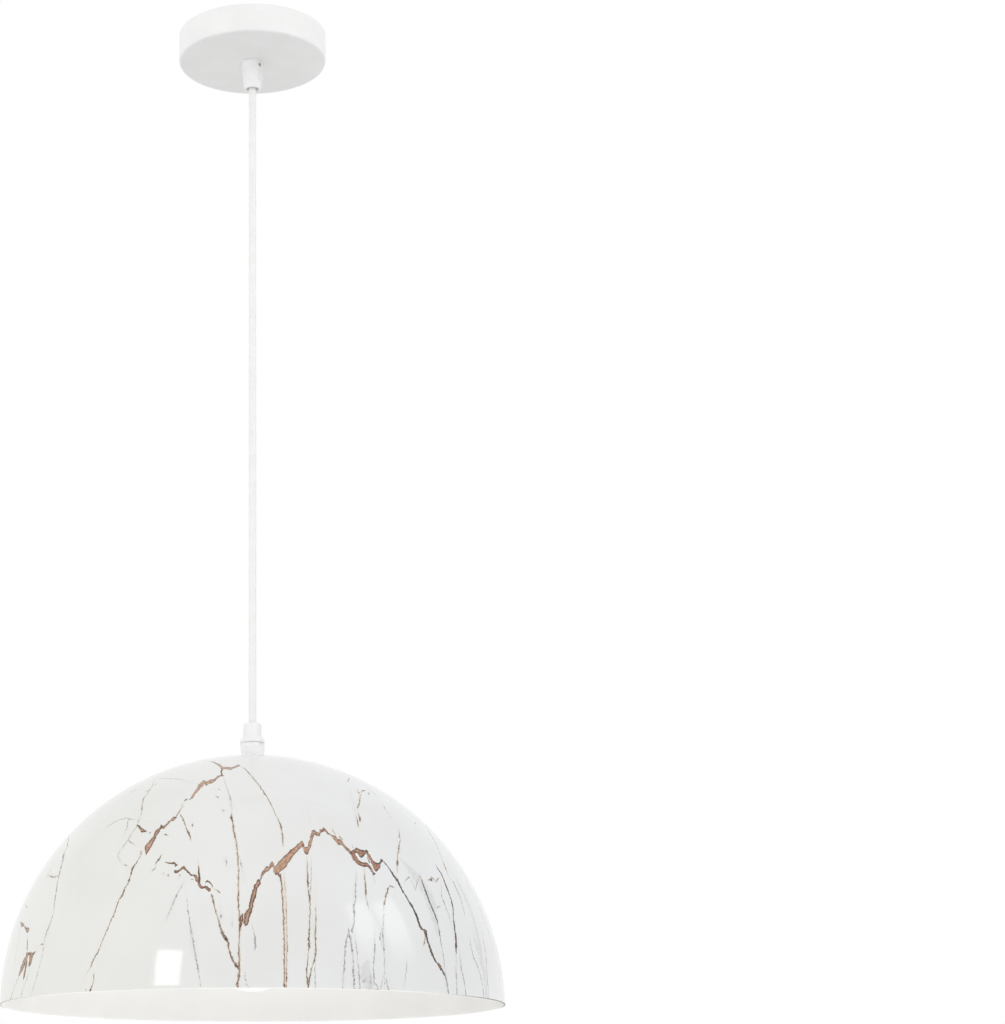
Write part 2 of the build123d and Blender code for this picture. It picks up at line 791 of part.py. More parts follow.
# Bulb lens: an opal bowl
with BuildPart() as bulb_lens:
    lens_in_r = bulb_r - bulb_lens_t
    lens_top_in_r = math.sqrt(lens_in_r**2 - bulb_lens_rise**2)
    lens_angle = math.degrees(math.asin(bulb_lens_rise / bulb_r))
    lens_in_angle = math.degrees(math.asin(bulb_lens_rise / lens_in_r))
    with BuildSketch(Plane.XZ):
        with BuildLine():
            CenterArc((0, bulb_centre), bulb_r, -90, 90 + lens_angle)
            Line((lens_top_r, lens_top), (lens_top_in_r, lens_top))
            CenterArc((0, bulb_centre), lens_in_r, lens_in_angle, -90 - lens_in_angle)
            Line((0, bulb_low + bulb_lens_t), (0, bulb_low))
        make_face()
    revolve(axis=Axis.Z)
bulb_lens.part.label = "bulb_lens"
export_step(bulb_lens.part, "parts/bulb_lens.step")

# Terminal block: three poles in a row, standing on the canopy's floor
with BuildPart() as terminal_block:
    with BuildSketch(Plane.XY.offset(canopy_floor)):
        with Locations((0, block_at_y)):
            Rectangle(block_len, block_w)
    extrude(amount=block_h)
    with BuildSketch(Plane.XZ.offset(-block_at_y - block_w / 2)):
        with Locations((0, barrel_level)):
            with GridLocations(pole_pitch, 1, 3, 1):
                Circle(barrel_r + fit_gap)
    extrude(amount=block_w, mode=Mode.SUBTRACT)
    with BuildSketch(Plane.XY.offset(canopy_floor + block_h)):
        with Locations((0, block_at_y)):
            with GridLocations(pole_pitch, 2 * block_screw_inset, 3, 2):
                Circle(block_screw_r + fit_gap)
    extrude(amount=barrel_rise - block_h, mode=Mode.SUBTRACT)
    fillet(terminal_block.edges().filter_by(Axis.Z).group_by(SortBy.DISTANCE)[-1], block_edge_r)
terminal_block.part.label = "terminal_block"
export_step(terminal_block.part, "parts/terminal_block.step")

# Brass barrels of the block, one through each pole
with BuildPart() as terminal_barrels:
    with BuildSketch(Plane.XZ.offset(barrel_inset - block_at_y - block_w / 2)):
        with Locations((0, barrel_level)):
            with GridLocations(pole_pitch, 1, 3, 1):
                Circle(barrel_r)
                Circle(barrel_bore_r, mode=Mode.SUBTRACT)
    extrude(amount=block_w - 2 * barrel_inset)
terminal_barrels.part.label = "terminal_barrels"
export_step(terminal_barrels.part, "parts/terminal_barrels.step")

# Clamping screws of the block, two for each pole, standing on the barrels
with BuildPart() as terminal_screws:
    screw_top = canopy_floor + block_h - block_screw_sink
    with BuildSketch(Plane.XY.offset(screw_top)):
        with Locations((0, block_at_y)):
            with GridLocations(pole_pitch, 2 * block_screw_inset, 3, 2):
                Circle(block_screw_r)
    extrude(amount=barrel_level + barrel_r - screw_top)
    with BuildSketch(Plane.XY.offset(screw_top)):
        with Locations((0, block_at_y)):
            with GridLocations(pole_pitch, 2 * block_screw_inset, 3, 2):
                Rectangle(driver_slot_w, 2 * block_screw_r)
    extrude(amount=-driver_slot_depth, mode=Mode.SUBTRACT)
terminal_screws.part.label = "terminal_screws"
export_step(terminal_screws.part, "parts/terminal_screws.step")

# Cores in the canopy: out of the sheath, over the tube's end and into the block
core_names = ("earth", "live", "neutral")
poles = (0, -1, 1)
over_y = bracket_w / 2 + core_over
for core_name, angle, pole in zip(core_names, core_angles, poles):
    start = ring_point(angle, sheath_top)
    route = [
        start,
        (start[0], start[1], -core_over),
        (pole * pole_pitch, over_y, -core_over),
        (pole * pole_pitch, over_y, barrel_level),
        (pole * pole_pitch, block_at_y - block_w / 2 + 2 * barrel_inset, barrel_level),
    ]
    with BuildPart() as canopy_core:
        with BuildLine() as core_line:
            FilletPolyline(*route, radius=corner_radii(route))
        with BuildSketch(Plane(origin=core_line.line @ 0, z_dir=core_line.line % 0)):
            Circle(core_r)
        sweep()
    canopy_core.part.label = f"canopy_core_{core_name}"
    export_step(canopy_core.part, f"parts/canopy_core_{core_name}.step")

# Cores in the lampholder: out of the sheath and into the three posts
post_side = -post_len / 2
drop = sheath_low - wire_level
earth_x, earth_y, earth_z = ring_point(core_angles[0], sheath_low)
core_routes = {
    "earth": [
        (earth_x, earth_y, earth_z),
        (earth_x, earth_y, wire_level),
        (earth_x, earth_post_y + core_r, wire_level),
    ]
}
for core_name, angle, side in (("live", core_angles[1], -1), ("neutral", core_angles[2], 1)):
    start = ring_point(angle, sheath_low)
    core_routes[core_name] = [
        start,
        (start[0], start[1], sheath_low - drop / 3),
        (side * post_at, post_side - 4 * core_r, sheath_low - drop / 2),
        (side * post_at, post_side - 4 * core_r, wire_level),
        (side * post_at, post_side + core_r, wire_level),
    ]
for core_name, route in core_routes.items():
    with BuildPart() as holder_core:
        with BuildLine() as core_line:
            FilletPolyline(*route, radius=corner_radii(route))
        with BuildSketch(Plane(origin=core_line.line @ 0, z_dir=core_line.line % 0)):
            Circle(core_r)
        sweep()
    holder_core.part.label = f"holder_core_{core_name}"
    export_step(holder_core.part, f"parts/holder_core_{core_name}.step")

# Earth stud welded to the canopy's floor
with BuildPart() as earth_stud:
    with BuildSketch(Plane.XY.offset(canopy_floor)):
        with Locations(stud_at):
            Circle(stud_r)
    extrude(amount=stud_h)
earth_stud.part.label = "earth_stud"
export_step(earth_stud.part, "parts/earth_stud.step")

# Ring tag on the stud, with a tail towards the block
tag_level = canopy_floor + stud_nut_h / 2
with BuildPart() as earth_tag:
    with BuildSketch(Plane.XY.offset(tag_level)):
        with Locations(stud_at):
            Circle(tag_r)
        with Locations((stud_at[0], stud_at[1] + tag_tail / 2)):
            Rectangle(tag_r, tag_tail)
        with Locations(stud_at):
            Circle(stud_r + fit_gap, mode=Mode.SUBTRACT)
    extrude(amount=tag_t)
earth_tag.part.label = "earth_tag"
export_step(earth_tag.part, "parts/earth_tag.step")

# Nuts that hold the tag on the stud: one under it, one over it
with BuildPart() as earth_nuts:
    for level, height in ((canopy_floor, stud_nut_h / 2), (tag_level + tag_t, stud_nut_h)):
        with BuildSketch(Plane.XY.offset(level)):
            with Locations(stud_at):
                RegularPolygon(stud_nut_flats / 2, 6, major_radius=False)
                Circle(stud_r + fit_gap, mode=Mode.SUBTRACT)
        extrude(amount=height)
earth_nuts.part.label = "earth_nuts"
export_step(earth_nuts.part, "parts/earth_nuts.step")

# Earth link from the far end of the block's middle pole to the tag's tail
link_far_y = block_at_y + block_w / 2 + 6 * core_r
link_end = (stud_at[0], stud_at[1] + tag_tail - core_r, tag_level + tag_t + core_r)
link_route = [
    (0, block_at_y + block_w / 2 - 2 * barrel_inset, barrel_level),
    (0, link_far_y, barrel_level),
    (link_turn * link_end[0], link_far_y + core_r, barrel_level),
    (link_end[0], link_end[1] + 2 * core_r, link_end[2] + core_r),
    link_end,
]
with BuildPart() as earth_link:
    with BuildLine() as link_line:
        FilletPolyline(*link_route, radius=corner_radii(link_route))
    with BuildSketch(Plane(origin=link_line.line @ 0, z_dir=link_line.line % 0)):
        Circle(core_r)
    sweep()
earth_link.part.label = "earth_link"
export_step(earth_link.part, "parts/earth_link.step")
print("total drop", round(-rim, 1))
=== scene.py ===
import math

import bmesh
import bpy
from mathutils import Matrix, Vector


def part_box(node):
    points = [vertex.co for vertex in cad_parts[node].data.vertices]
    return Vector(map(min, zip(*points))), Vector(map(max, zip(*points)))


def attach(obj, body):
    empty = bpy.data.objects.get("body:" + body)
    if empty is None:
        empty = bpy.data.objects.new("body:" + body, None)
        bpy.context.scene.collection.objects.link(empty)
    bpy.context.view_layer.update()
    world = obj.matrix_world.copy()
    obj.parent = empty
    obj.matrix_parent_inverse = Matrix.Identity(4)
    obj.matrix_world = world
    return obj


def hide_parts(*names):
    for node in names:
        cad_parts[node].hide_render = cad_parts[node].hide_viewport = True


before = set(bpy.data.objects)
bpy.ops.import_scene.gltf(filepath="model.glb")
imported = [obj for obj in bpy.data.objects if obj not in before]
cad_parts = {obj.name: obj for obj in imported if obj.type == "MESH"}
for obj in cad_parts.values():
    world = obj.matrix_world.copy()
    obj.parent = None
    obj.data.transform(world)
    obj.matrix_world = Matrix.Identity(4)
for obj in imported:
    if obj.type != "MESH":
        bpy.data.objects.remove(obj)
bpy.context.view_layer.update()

MM = 0.001

# The lamp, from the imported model: metres, ceiling at z = 0, the viewer on the -Y side
SHADE_LOW, SHADE_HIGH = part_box("shade")
SHADE_R = SHADE_HIGH.x
RIM = SHADE_LOW.z
CROWN = SHADE_HIGH.z
CANOPY_LOW, CANOPY_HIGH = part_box("canopy")
CANOPY_R = CANOPY_HIGH.x
CORD_LOW, CORD_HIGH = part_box("cord")
CORD_R = CORD_HIGH.x
UPPER_PIVOT = CORD_HIGH.z - CORD_R
LOWER_PIVOT = CORD_LOW.z + CORD_R
DOME_CENTRE = Vector((0, 0, RIM))

# The photograph, in its own pixels, and the camera that was fitted to its ellipses
IMAGE_W, IMAGE_H = 1005, 1024
OPTICAL_X, OPTICAL_Y = 252.5, 563.2
FOCAL_PX = 2477
SENSOR = 36.0
CAMERA_BACK = 1.746
CAMERA_DROP = 0.115
CAMERA_TILT = math.radians(13.92)
CAMERA_AT = Vector((0, -CAMERA_BACK, RIM - CAMERA_DROP))

# The photograph's right half is a crop of the same lamp, enlarged. A part of it, which starts at CROP,
# was cut out and shown three times as large to read the veins off it: the enlarged crop.
CROP_X, CROP_Y, CROP_ZOOM = 336, 232, 3
RIGHT_ZOOM = 1.322
RIGHT_AXIS, RIGHT_TOP = 671, 237
LEFT_AXIS, LEFT_TOP = 252.25, 753
PX_PER_MM = 1.438


# Camera

def camera_ray(x, y):
    """The direction in which the camera sees a pixel of the photograph."""
    ahead = Vector((0, math.cos(CAMERA_TILT), math.sin(CAMERA_TILT)))
    up = Vector((0, -math.sin(CAMERA_TILT), math.cos(CAMERA_TILT)))
    side = Vector((1, 0, 0))
    return (ahead + side * (x - OPTICAL_X) / FOCAL_PX + up * (OPTICAL_Y - y) / FOCAL_PX).normalized()


def on_dome(x, y):
    """The point of the dome under a pixel, from its centre, in radii; beside the dome, its outline."""
    way = camera_ray(x, y)
    back = CAMERA_AT - DOME_CENTRE
    half_b = back.dot(way)
    root = half_b**2 - back.length_squared + SHADE_R**2
    return (back + way * (-half_b - math.sqrt(max(root, 0)))).normalized()


def crop_to_left(x, y):
    """A point of the enlarged crop as a pixel of the left view."""
    right_x, right_y = CROP_X + x / CROP_ZOOM, CROP_Y + y / CROP_ZOOM
    return (
        LEFT_AXIS + (right_x - RIGHT_AXIS) / RIGHT_ZOOM,
        LEFT_TOP + (right_y - RIGHT_TOP) / RIGHT_ZOOM,
    )


def make_camera():
    """The camera that was fitted to the photograph."""
    data = bpy.data.cameras.new("photo_camera")
    data.sensor_width = SENSOR
    data.sensor_fit = "AUTO"
    data.lens = FOCAL_PX / IMAGE_H * SENSOR
    data.shift_x = (IMAGE_W / 2 - OPTICAL_X) / IMAGE_H
    data.shift_y = (OPTICAL_Y - IMAGE_H / 2) / IMAGE_H
    data.clip_start, data.clip_end = 0.01, 100
    made = add_object("photo_camera", data)
    made.location = CAMERA_AT
    made.rotation_euler = (math.pi / 2 + CAMERA_TILT, 0, 0)
    bpy.context.scene.camera = made


# Node graphs

class Graph:
    """A short way to write a material's nodes: sockets are linked, and plain values are set."""

    def __init__(self, tree):
        self.tree = tree

    def feed(self, socket, value):
        if isinstance(value, bpy.types.NodeSocket):
            self.tree.links.new(value, socket)
        else:
            socket.default_value = value

    def node(self, kind, inputs=None, **settings):
        made = self.tree.nodes.new("ShaderNode" + kind)
        for key, value in settings.items():
            setattr(made, key, value)
        for key, value in (inputs or {}).items():
            self.feed(made.inputs[key], value)
        return made

    def math(self, operation, *values):
        made = self.node("Math", operation=operation)
        for socket, value in zip(made.inputs, values):
            self.feed(socket, value)
        return made.outputs[0]

    def vector(self, operation, *values):
        made = self.node("VectorMath", operation=operation)
        for socket, value in zip(made.inputs, values):
            self.feed(socket, value)
        return made.outputs[0]

    def scale(self, vector, amount):
        made = self.node("VectorMath", {"Scale": amount}, operation="SCALE")
        self.feed(made.inputs[0], vector)
        return made.outputs[0]

    def noise(self, place, scale, detail=2.0, rough=0.5, out="Fac"):
        made = self.node(
            "TexNoise",
            {"Vector": place, "Scale": scale, "Detail": detail, "Roughness": rough},
        )
        return made.outputs[out]

    def step(self, value, low, high, to_low=0.0, to_high=1.0):
        made = self.node("MapRange", interpolation_type="SMOOTHSTEP")
        for key, number in (
            ("Value", value), ("From Min", low), ("From Max", high),
            ("To Min", to_low), ("To Max", to_high),
        ):
            self.feed(made.inputs[key], number)
        return made.outputs[0]

    def mix(self, factor, a, b):
        made = self.node("Mix", data_type="RGBA")
        self.feed(made.inputs[0], factor)
        self.feed(made.inputs[6], a)
        self.feed(made.inputs[7], b)
        return made.outputs[2]

    def bump(self, height, distance, strength=1.0):
        made = self.node("Bump", {"Height": height, "Distance": distance, "Strength": strength})
        return made.outputs[0]


def new_material(name, **sockets):
    """A material with one shader; the keyword values are set on the shader's own sockets."""
    made = bpy.data.materials.new(name)
    made.use_nodes = True
    shader = made.node_tree.nodes["Principled BSDF"]
    for key, value in sockets.items():
        shader.inputs[key.replace("_", " ")].default_value = value
    return made, Graph(made.node_tree), shader


def own_place(graph):
    return graph.node("TexCoord").outputs["Object"]


def shade_of(colour, amount):
    return tuple(min(1.0, c * amount) for c in colour[:3]) + (1.0,)


def plain_surface(name, colour, rough, spread, mottle, grain, depth, metal=0.0, **sockets):
    """A surface with a slight mottle, uneven gloss and a fine grain. Mottle and grain are the
    sizes of their features and depth the grain's height, all in millimetres."""
    made, graph, shader = new_material(name, Metallic=metal, **sockets)
    place = own_place(graph)
    cloud = graph.noise(place, 1 / (mottle * MM), 3.0)
    fine = graph.noise(place, 1 / (grain * MM), 2.0)
    graph.feed(
        shader.inputs["Base Color"],
        graph.mix(graph.step(cloud, 0.3, 0.7), shade_of(colour, 0.975), shade_of(colour, 1.02)),
    )
    graph.feed(shader.inputs["Roughness"], graph.step(cloud, 0.25, 0.75, rough - spread, rough + spread))
    graph.feed(shader.inputs["Normal"], graph.bump(fine, depth * MM))
    return made


# Marble coat

MOST_SLANT = 2.6

# The windows of the enlarged crop in which the veins' points were read: each one's left and top edge
# there, and how much it was enlarged again
WINDOWS = {
    "arch": (780, 280, 1.9), "middle": (540, 30, 2.4), "left": (0, 560, 2.4),
    "right": (1540, 240, 1.75), "feet": (1100, 540, 2.4), "hook": (120, 80, 2.2),
    "brow": (1120, 10, 2.6), "low": (930, 640, 3.0), "crop": (0, 0, 1.0),
}

# Each vein: its kind, how it runs, its window, and its points as they were read there. A plain
# run has a centre line of (x, y, width). A run with "edges" has two outlines: "across edges" holds
# (x, top y, bottom y), and "down edges" holds (y, left x, right x).
VEINS = {
    "crest": ("copper", "across edges", "middle", (
        (715, 42, 46), (740, 46, 54), (765, 54, 64), (790, 62, 78), (810, 72, 96), (825, 84, 118),
        (838, 92, 126), (850, 94, 116), (870, 96, 118), (895, 98, 122), (915, 100, 126), (930, 96, 112),
        (945, 90, 110), (960, 84, 104), (975, 74, 98), (985, 72, 92), (995, 80, 90), (1003, 86, 90))),
    "crest_tail": ("grey", "across", "middle", (
        (560, 30, 3), (630, 33, 4), (700, 42, 5), (722, 48, 3))),
    "crest_spur": ("brown", "across", "middle", (
        (750, 78, 3), (765, 66, 7), (790, 80, 3))),
    "band_stem": ("copper", "down edges", "middle", (
        (96, 824, 842), (110, 822, 842), (124, 820, 834), (138, 819, 831), (152, 817, 831),
        (166, 814, 833), (180, 814, 832), (188, 818, 826))),
    "band_blob": ("copper", "across edges", "middle", (
        (612, 258, 318), (620, 262, 320), (630, 248, 316), (636, 238, 300), (644, 228, 268),
        (654, 222, 256), (664, 224, 256), (674, 232, 268), (684, 236, 278), (694, 232, 268),
        (704, 222, 252), (716, 216, 250), (728, 216, 254), (740, 216, 250), (752, 212, 240),
        (760, 206, 232), (768, 200, 226), (776, 194, 220), (784, 178, 216), (792, 178, 196),
        (800, 182, 194), (812, 176, 190), (820, 168, 188), (832, 176, 184), (848, 181, 184))),
    "band_mid": ("copper", "across edges", "middle", (
        (508, 408, 412), (520, 402, 410), (530, 388, 404), (540, 374, 396), (550, 360, 388),
        (560, 344, 384), (570, 322, 380), (580, 304, 372), (588, 288, 350), (596, 276, 330),
        (606, 262, 312), (616, 264, 300))),
    "band_dots": ("copper", "across edges", "middle", (
        (446, 458, 466), (454, 452, 472), (462, 448, 476), (470, 440, 468), (482, 442, 452),
        (484, 408, 408), (490, 398, 412), (498, 400, 408))),
    "band_dot": ("copper", "across edges", "middle", (
        (468, 418, 424), (476, 406, 420), (486, 398, 414), (498, 402, 406))),
    "band_neck": ("brown", "down", "middle", (
        (464, 462, 5), (446, 486, 12), (432, 504, 13), (420, 522, 11), (410, 532, 14), (400, 548, 13),
        (388, 572, 13), (376, 590, 8))),
    "band_bead": ("copper", "across edges", "middle", (
        (336, 600, 610), (348, 584, 610), (358, 576, 612), (370, 572, 608), (378, 570, 594),
        (388, 566, 578))),
    "band_low": ("copper", "across edges", "middle", (
        (242, 646, 654), (252, 648, 672), (262, 654, 682), (272, 657, 681), (282, 654, 676),
        (292, 644, 664), (302, 632, 652), (312, 622, 642), (322, 614, 641), (332, 606, 630),
        (342, 592, 616), (352, 580, 606))),
    "band_tail": ("copper", "down edges", "middle", (
        (660, 246, 266), (676, 232, 254), (690, 212, 244), (704, 194, 238), (716, 190, 228),
        (730, 188, 218), (745, 180, 212), (760, 168, 202), (775, 158, 194), (790, 146, 186),
        (805, 134, 178), (820, 124, 172), (835, 108, 166), (850, 94, 160), (865, 90, 152), (880, 94, 144),
        (895, 98, 134), (905, 98, 128), (918, 102, 120), (932, 106, 112))),
    "band_foot": ("brown", "down", "crop", (
        (567, 413, 3), (556, 432, 4), (545, 450, 4), (531, 471, 9), (526, 491, 5), (520, 512, 7),
        (509, 539, 4), (498, 557, 6), (495, 571, 7), (487, 585, 8), (477, 598, 4), (468, 621, 6),
        (462, 642, 5), (440, 690, 5), (419, 743, 4), (400, 785, 3), (390, 810, 6), (378, 828, 3),
        (370, 845, 7), (366, 860, 4), (358, 874, 2))),
    "band_beads": ("brown", "down", "middle", (
        (56, 896, 4), (57, 908, 13), (56, 918, 8), (54, 930, 13), (53, 942, 3))),
    "band_end": ("brown", "down", "left", (
        (903, 795, 7), (901, 810, 12), (901, 850, 8), (893, 890, 8), (880, 920, 12), (868, 955, 16),
        (857, 982, 9))),
    "band_end_twig": ("grey", "down", "left", (
        (820, 932, 5), (829, 948, 11), (834, 960, 5))),
    "arc": ("brown", "down", "crop", (
        (953, 62, 3), (978, 78, 4), (1000, 104, 5), (1030, 140, 4), (1060, 185, 5), (1085, 230, 4),
        (1105, 275, 3), (1117, 300, 6), (1124, 330, 4), (1126, 362, 6), (1127, 390, 2))),
    "fork": ("brown", "down", "middle", (
        (212, 190, 4), (180, 235, 6), (165, 275, 6), (145, 310, 7), (120, 350, 8), (95, 375, 8),
        (80, 398, 13), (76, 430, 6), (68, 500, 12), (60, 540, 6), (48, 575, 6), (32, 612, 8), (26, 650, 6))),
    "fork_dash_a": ("brown", "across", "middle", (
        (166, 278, 4), (185, 268, 12), (205, 258, 10), (224, 250, 4))),
    "fork_dash_b": ("brown", "across", "middle", (
        (88, 343, 4), (105, 331, 12), (122, 324, 17), (140, 320, 13), (157, 318, 4))),
    "fork_leg": ("brown", "down", "hook", (
        (948, 484, 5), (930, 510, 6), (900, 550, 5), (875, 595, 6), (862, 620, 9), (845, 640, 9),
        (828, 665, 10), (808, 694, 10))),
    "fork_twig": ("brown", "across", "hook", (
        (860, 620, 5), (880, 630, 8), (900, 648, 6), (932, 664, 4))),
    "hook": ("copper", "across edges", "middle", (
        (20, 640, 658), (30, 650, 674), (40, 656, 686), (50, 668, 696), (60, 678, 718), (70, 686, 720),
        (80, 682, 712), (90, 696, 714), (100, 700, 716), (110, 709, 713))),
    "hook_end": ("brown", "across", "middle", (
        (128, 722, 4), (140, 718, 10), (149, 724, 14), (156, 720, 4))),
    "halo_a": ("grey", "across", "hook", (
        (638, 558, 4), (665, 528, 5), (695, 492, 8), (740, 462, 7), (790, 440, 8), (850, 424, 8),
        (880, 430, 8), (925, 438, 4))),
    "halo_leg": ("grey", "down", "hook", (
        (870, 428, 4), (862, 460, 8), (855, 500, 8), (838, 545, 6), (820, 590, 4))),
    "halo_ring": ("grey", "down", "hook", (
        (808, 694, 5), (785, 722, 8), (777, 755, 7), (785, 785, 6), (802, 804, 4))),
    "ring_speck": ("brown", "across", "hook", (
        (824, 829, 5), (842, 836, 14), (854, 842, 10), (868, 849, 4))),
    "edge_specks": ("grey", "across", "hook", (
        (870, 208, 4), (882, 200, 10), (900, 186, 6), (922, 180, 9), (945, 181, 4))),
    "step_top": ("copper", "across edges", "middle", (
        (286, 999, 1003), (300, 1000, 1010), (318, 1002, 1018), (330, 1008, 1020), (345, 1014, 1022),
        (362, 1006, 1020), (374, 998, 1030), (382, 1010, 1044), (394, 1020, 1042), (406, 1020, 1036),
        (418, 1026, 1030))),
    "step": ("copper", "across edges", "middle", (
        (376, 1088, 1098), (390, 1078, 1108), (400, 1084, 1104), (412, 1078, 1098), (424, 1068, 1092),
        (436, 1054, 1080), (448, 1044, 1070), (460, 1038, 1066), (472, 1042, 1076), (484, 1056, 1084),
        (496, 1074, 1094), (508, 1092, 1110), (520, 1106, 1126), (532, 1120, 1138), (544, 1125, 1138),
        (556, 1122, 1134), (564, 1118, 1150), (574, 1118, 1178), (584, 1124, 1182), (594, 1146, 1200),
        (602, 1166, 1220), (610, 1180, 1238), (620, 1200, 1248), (632, 1220, 1258), (644, 1228, 1256),
        (656, 1232, 1248), (668, 1228, 1250), (680, 1230, 1264), (692, 1236, 1272), (704, 1248, 1284),
        (714, 1250, 1286), (724, 1264, 1272))),
    "step_spire": ("copper", "down edges", "middle", (
        (1040, 608, 612), (1070, 604, 614), (1100, 603, 616), (1130, 602, 618), (1160, 600, 620),
        (1190, 600, 624), (1204, 604, 614))),
    "step_ring": ("copper", "across", "middle", (
        (664, 1202, 5), (675, 1187, 10), (690, 1182, 11), (708, 1190, 10), (722, 1204, 10), (732, 1222, 9),
        (742, 1250, 5))),
    "step_tail": ("brown", "across", "middle", (
        (742, 1252, 5), (770, 1262, 9), (790, 1274, 10), (805, 1288, 16), (814, 1296, 5))),
    "step_twig": ("brown", "down", "middle", (
        (264, 922, 4), (246, 944, 8), (232, 966, 17), (218, 990, 23), (204, 1006, 14), (196, 1030, 4))),
    "step_dash": ("brown", "down", "middle", (
        (196, 1042, 4), (186, 1060, 9), (170, 1080, 10), (150, 1106, 4))),
    "step_bead": ("brown", "down", "middle", (
        (317, 1110, 4), (318, 1128, 19), (319, 1152, 5))),
    "step_moss": ("grey", "down", "middle", (
        (274, 1096, 5), (269, 1114, 18), (275, 1130, 5))),
    "step_grey": ("grey", "down", "middle", (
        (428, 1114, 5), (424, 1132, 16), (418, 1150, 5))),
    "step_far": ("grey", "down", "middle", (
        (458, 1210, 5), (440, 1240, 14), (425, 1262, 8), (410, 1300, 4))),
    "step_under": ("grey", "across", "middle", (
        (522, 1167, 4), (540, 1166, 12), (554, 1169, 4))),
    "step_drop": ("brown", "down", "crop", (
        (842, 572, 3), (846, 585, 8), (851, 606, 6), (856, 633, 5), (867, 667, 4), (883, 717, 7),
        (887, 730, 12), (896, 742, 13), (906, 758, 9), (912, 790, 5), (918, 815, 6), (930, 840, 9),
        (940, 857, 10), (951, 874, 9), (954, 884, 3))),
    "twig": ("brown", "down", "middle", (
        (412, 530, 5), (430, 552, 7), (455, 590, 10), (466, 620, 12), (480, 660, 9), (492, 700, 9),
        (510, 716, 19), (518, 745, 11), (530, 780, 14), (537, 804, 4))),
    "twig_bead": ("grey", "down", "middle", (
        (544, 632, 5), (545, 652, 18), (546, 670, 5))),
    "band_speck": ("brown", "across", "middle", (
        (268, 746, 5), (285, 738, 14), (305, 742, 14), (324, 749, 5))),
    "plumb_speck_a": ("grey", "across", "middle", (
        (784, 298, 4), (800, 308, 11), (816, 320, 4))),
    "plumb_speck_b": ("grey", "across", "middle", (
        (766, 368, 5), (780, 380, 18), (792, 386, 18), (808, 394, 5))),
    "plumb_cross": ("pale", "across", "middle", (
        (808, 396, 6), (840, 398, 9), (880, 397, 10), (914, 380, 6))),
    "plumb_top": ("grey", "down", "middle", (
        (838, 190, 4), (858, 240, 6), (875, 300, 6), (895, 360, 8), (908, 385, 13), (914, 430, 5),
        (922, 520, 5))),
    "plumb_speck_c": ("grey", "down", "middle", (
        (836, 498, 5), (840, 510, 16), (843, 522, 5))),
    "plumb": ("brown", "down", "crop", (
        (922, 250, 3), (922, 268, 9), (926, 288, 5), (929, 311, 7), (934, 334, 5), (938, 355, 5),
        (942, 376, 4), (946, 405, 4), (948, 430, 5), (950, 463, 4), (950, 505, 5), (950, 547, 4),
        (949, 590, 6), (950, 602, 7), (952, 640, 4), (954, 668, 4), (956, 700, 8), (955, 718, 6),
        (954, 740, 4), (953, 760, 6), (952, 790, 7), (952, 803, 7), (953, 815, 7), (955, 833, 7),
        (952, 853, 6), (951, 874, 8), (951, 895, 9), (950, 913, 9), (947, 930, 7), (947, 955, 8))),
    "plumb_side_a": ("grey", "down", "middle", (
        (1000, 958, 5), (1010, 1020, 10), (1023, 1078, 5))),
    "plumb_side_b": ("grey", "down", "middle", (
        (864, 952, 7), (867, 1000, 9), (872, 1042, 5))),
    "drop_speck_a": ("grey", "down", "arch", (
        (188, 698, 5), (191, 725, 12), (192, 748, 5))),
    "drop_speck_b": ("grey", "down", "arch", (
        (277, 758, 5), (278, 782, 10), (275, 806, 5))),
    "arch_leg": ("copper", "down edges", "arch", (
        (450, 472, 488), (465, 460, 491), (480, 448, 489), (495, 440, 481), (515, 436, 467),
        (540, 428, 459), (565, 420, 456), (590, 414, 449), (615, 408, 441), (640, 405, 437),
        (665, 400, 429), (690, 386, 425), (703, 372, 419), (706, 364, 418), (722, 372, 413),
        (735, 366, 408), (752, 363, 404), (770, 362, 403), (786, 366, 397), (804, 373, 381))),
    "arch_foot": ("copper", "down edges", "arch", (
        (702, 349, 357), (712, 342, 362), (726, 338, 362), (742, 333, 360), (760, 330, 357),
        (775, 328, 353), (790, 327, 349), (800, 326, 345), (815, 328, 338), (832, 329, 334))),
    "arch_blade": ("copper", "across edges", "arch", (
        (484, 458, 464), (489, 440, 462), (497, 398, 448), (506, 394, 426), (518, 376, 406),
        (530, 346, 397), (541, 348, 385), (551, 356, 389), (561, 338, 367), (572, 318, 353),
        (582, 308, 349), (589, 330, 396), (597, 358, 412), (606, 350, 414), (620, 325, 408),
        (640, 302, 394), (660, 282, 378), (680, 262, 354), (700, 245, 326), (720, 228, 300),
        (740, 212, 272), (760, 196, 248), (780, 178, 223), (796, 158, 207), (806, 160, 196),
        (813, 178, 190))),
    "arch_peak": ("copper", "across edges", "arch", (
        (808, 190, 205), (815, 190, 240), (825, 206, 256), (838, 205, 264), (848, 190, 257),
        (858, 165, 226), (866, 130, 206), (874, 95, 186), (884, 74, 150), (895, 80, 116), (905, 90, 112),
        (915, 90, 118), (930, 98, 130), (938, 68, 112), (946, 75, 96), (955, 70, 92), (966, 57, 84),
        (978, 68, 90), (990, 80, 104), (1000, 95, 112), (1007, 108, 112))),
    "arch_fall": ("copper", "across edges", "arch", (
        (1006, 98, 103), (1018, 108, 118), (1030, 118, 132), (1040, 120, 152), (1048, 98, 158),
        (1056, 128, 162), (1066, 144, 190), (1075, 150, 196), (1085, 146, 184), (1095, 152, 190),
        (1105, 165, 196), (1115, 180, 209), (1125, 195, 219), (1135, 205, 226), (1145, 208, 236),
        (1155, 218, 246), (1165, 230, 256), (1172, 240, 258))),
    "arch_spike_a": ("brown", "down", "arch", (
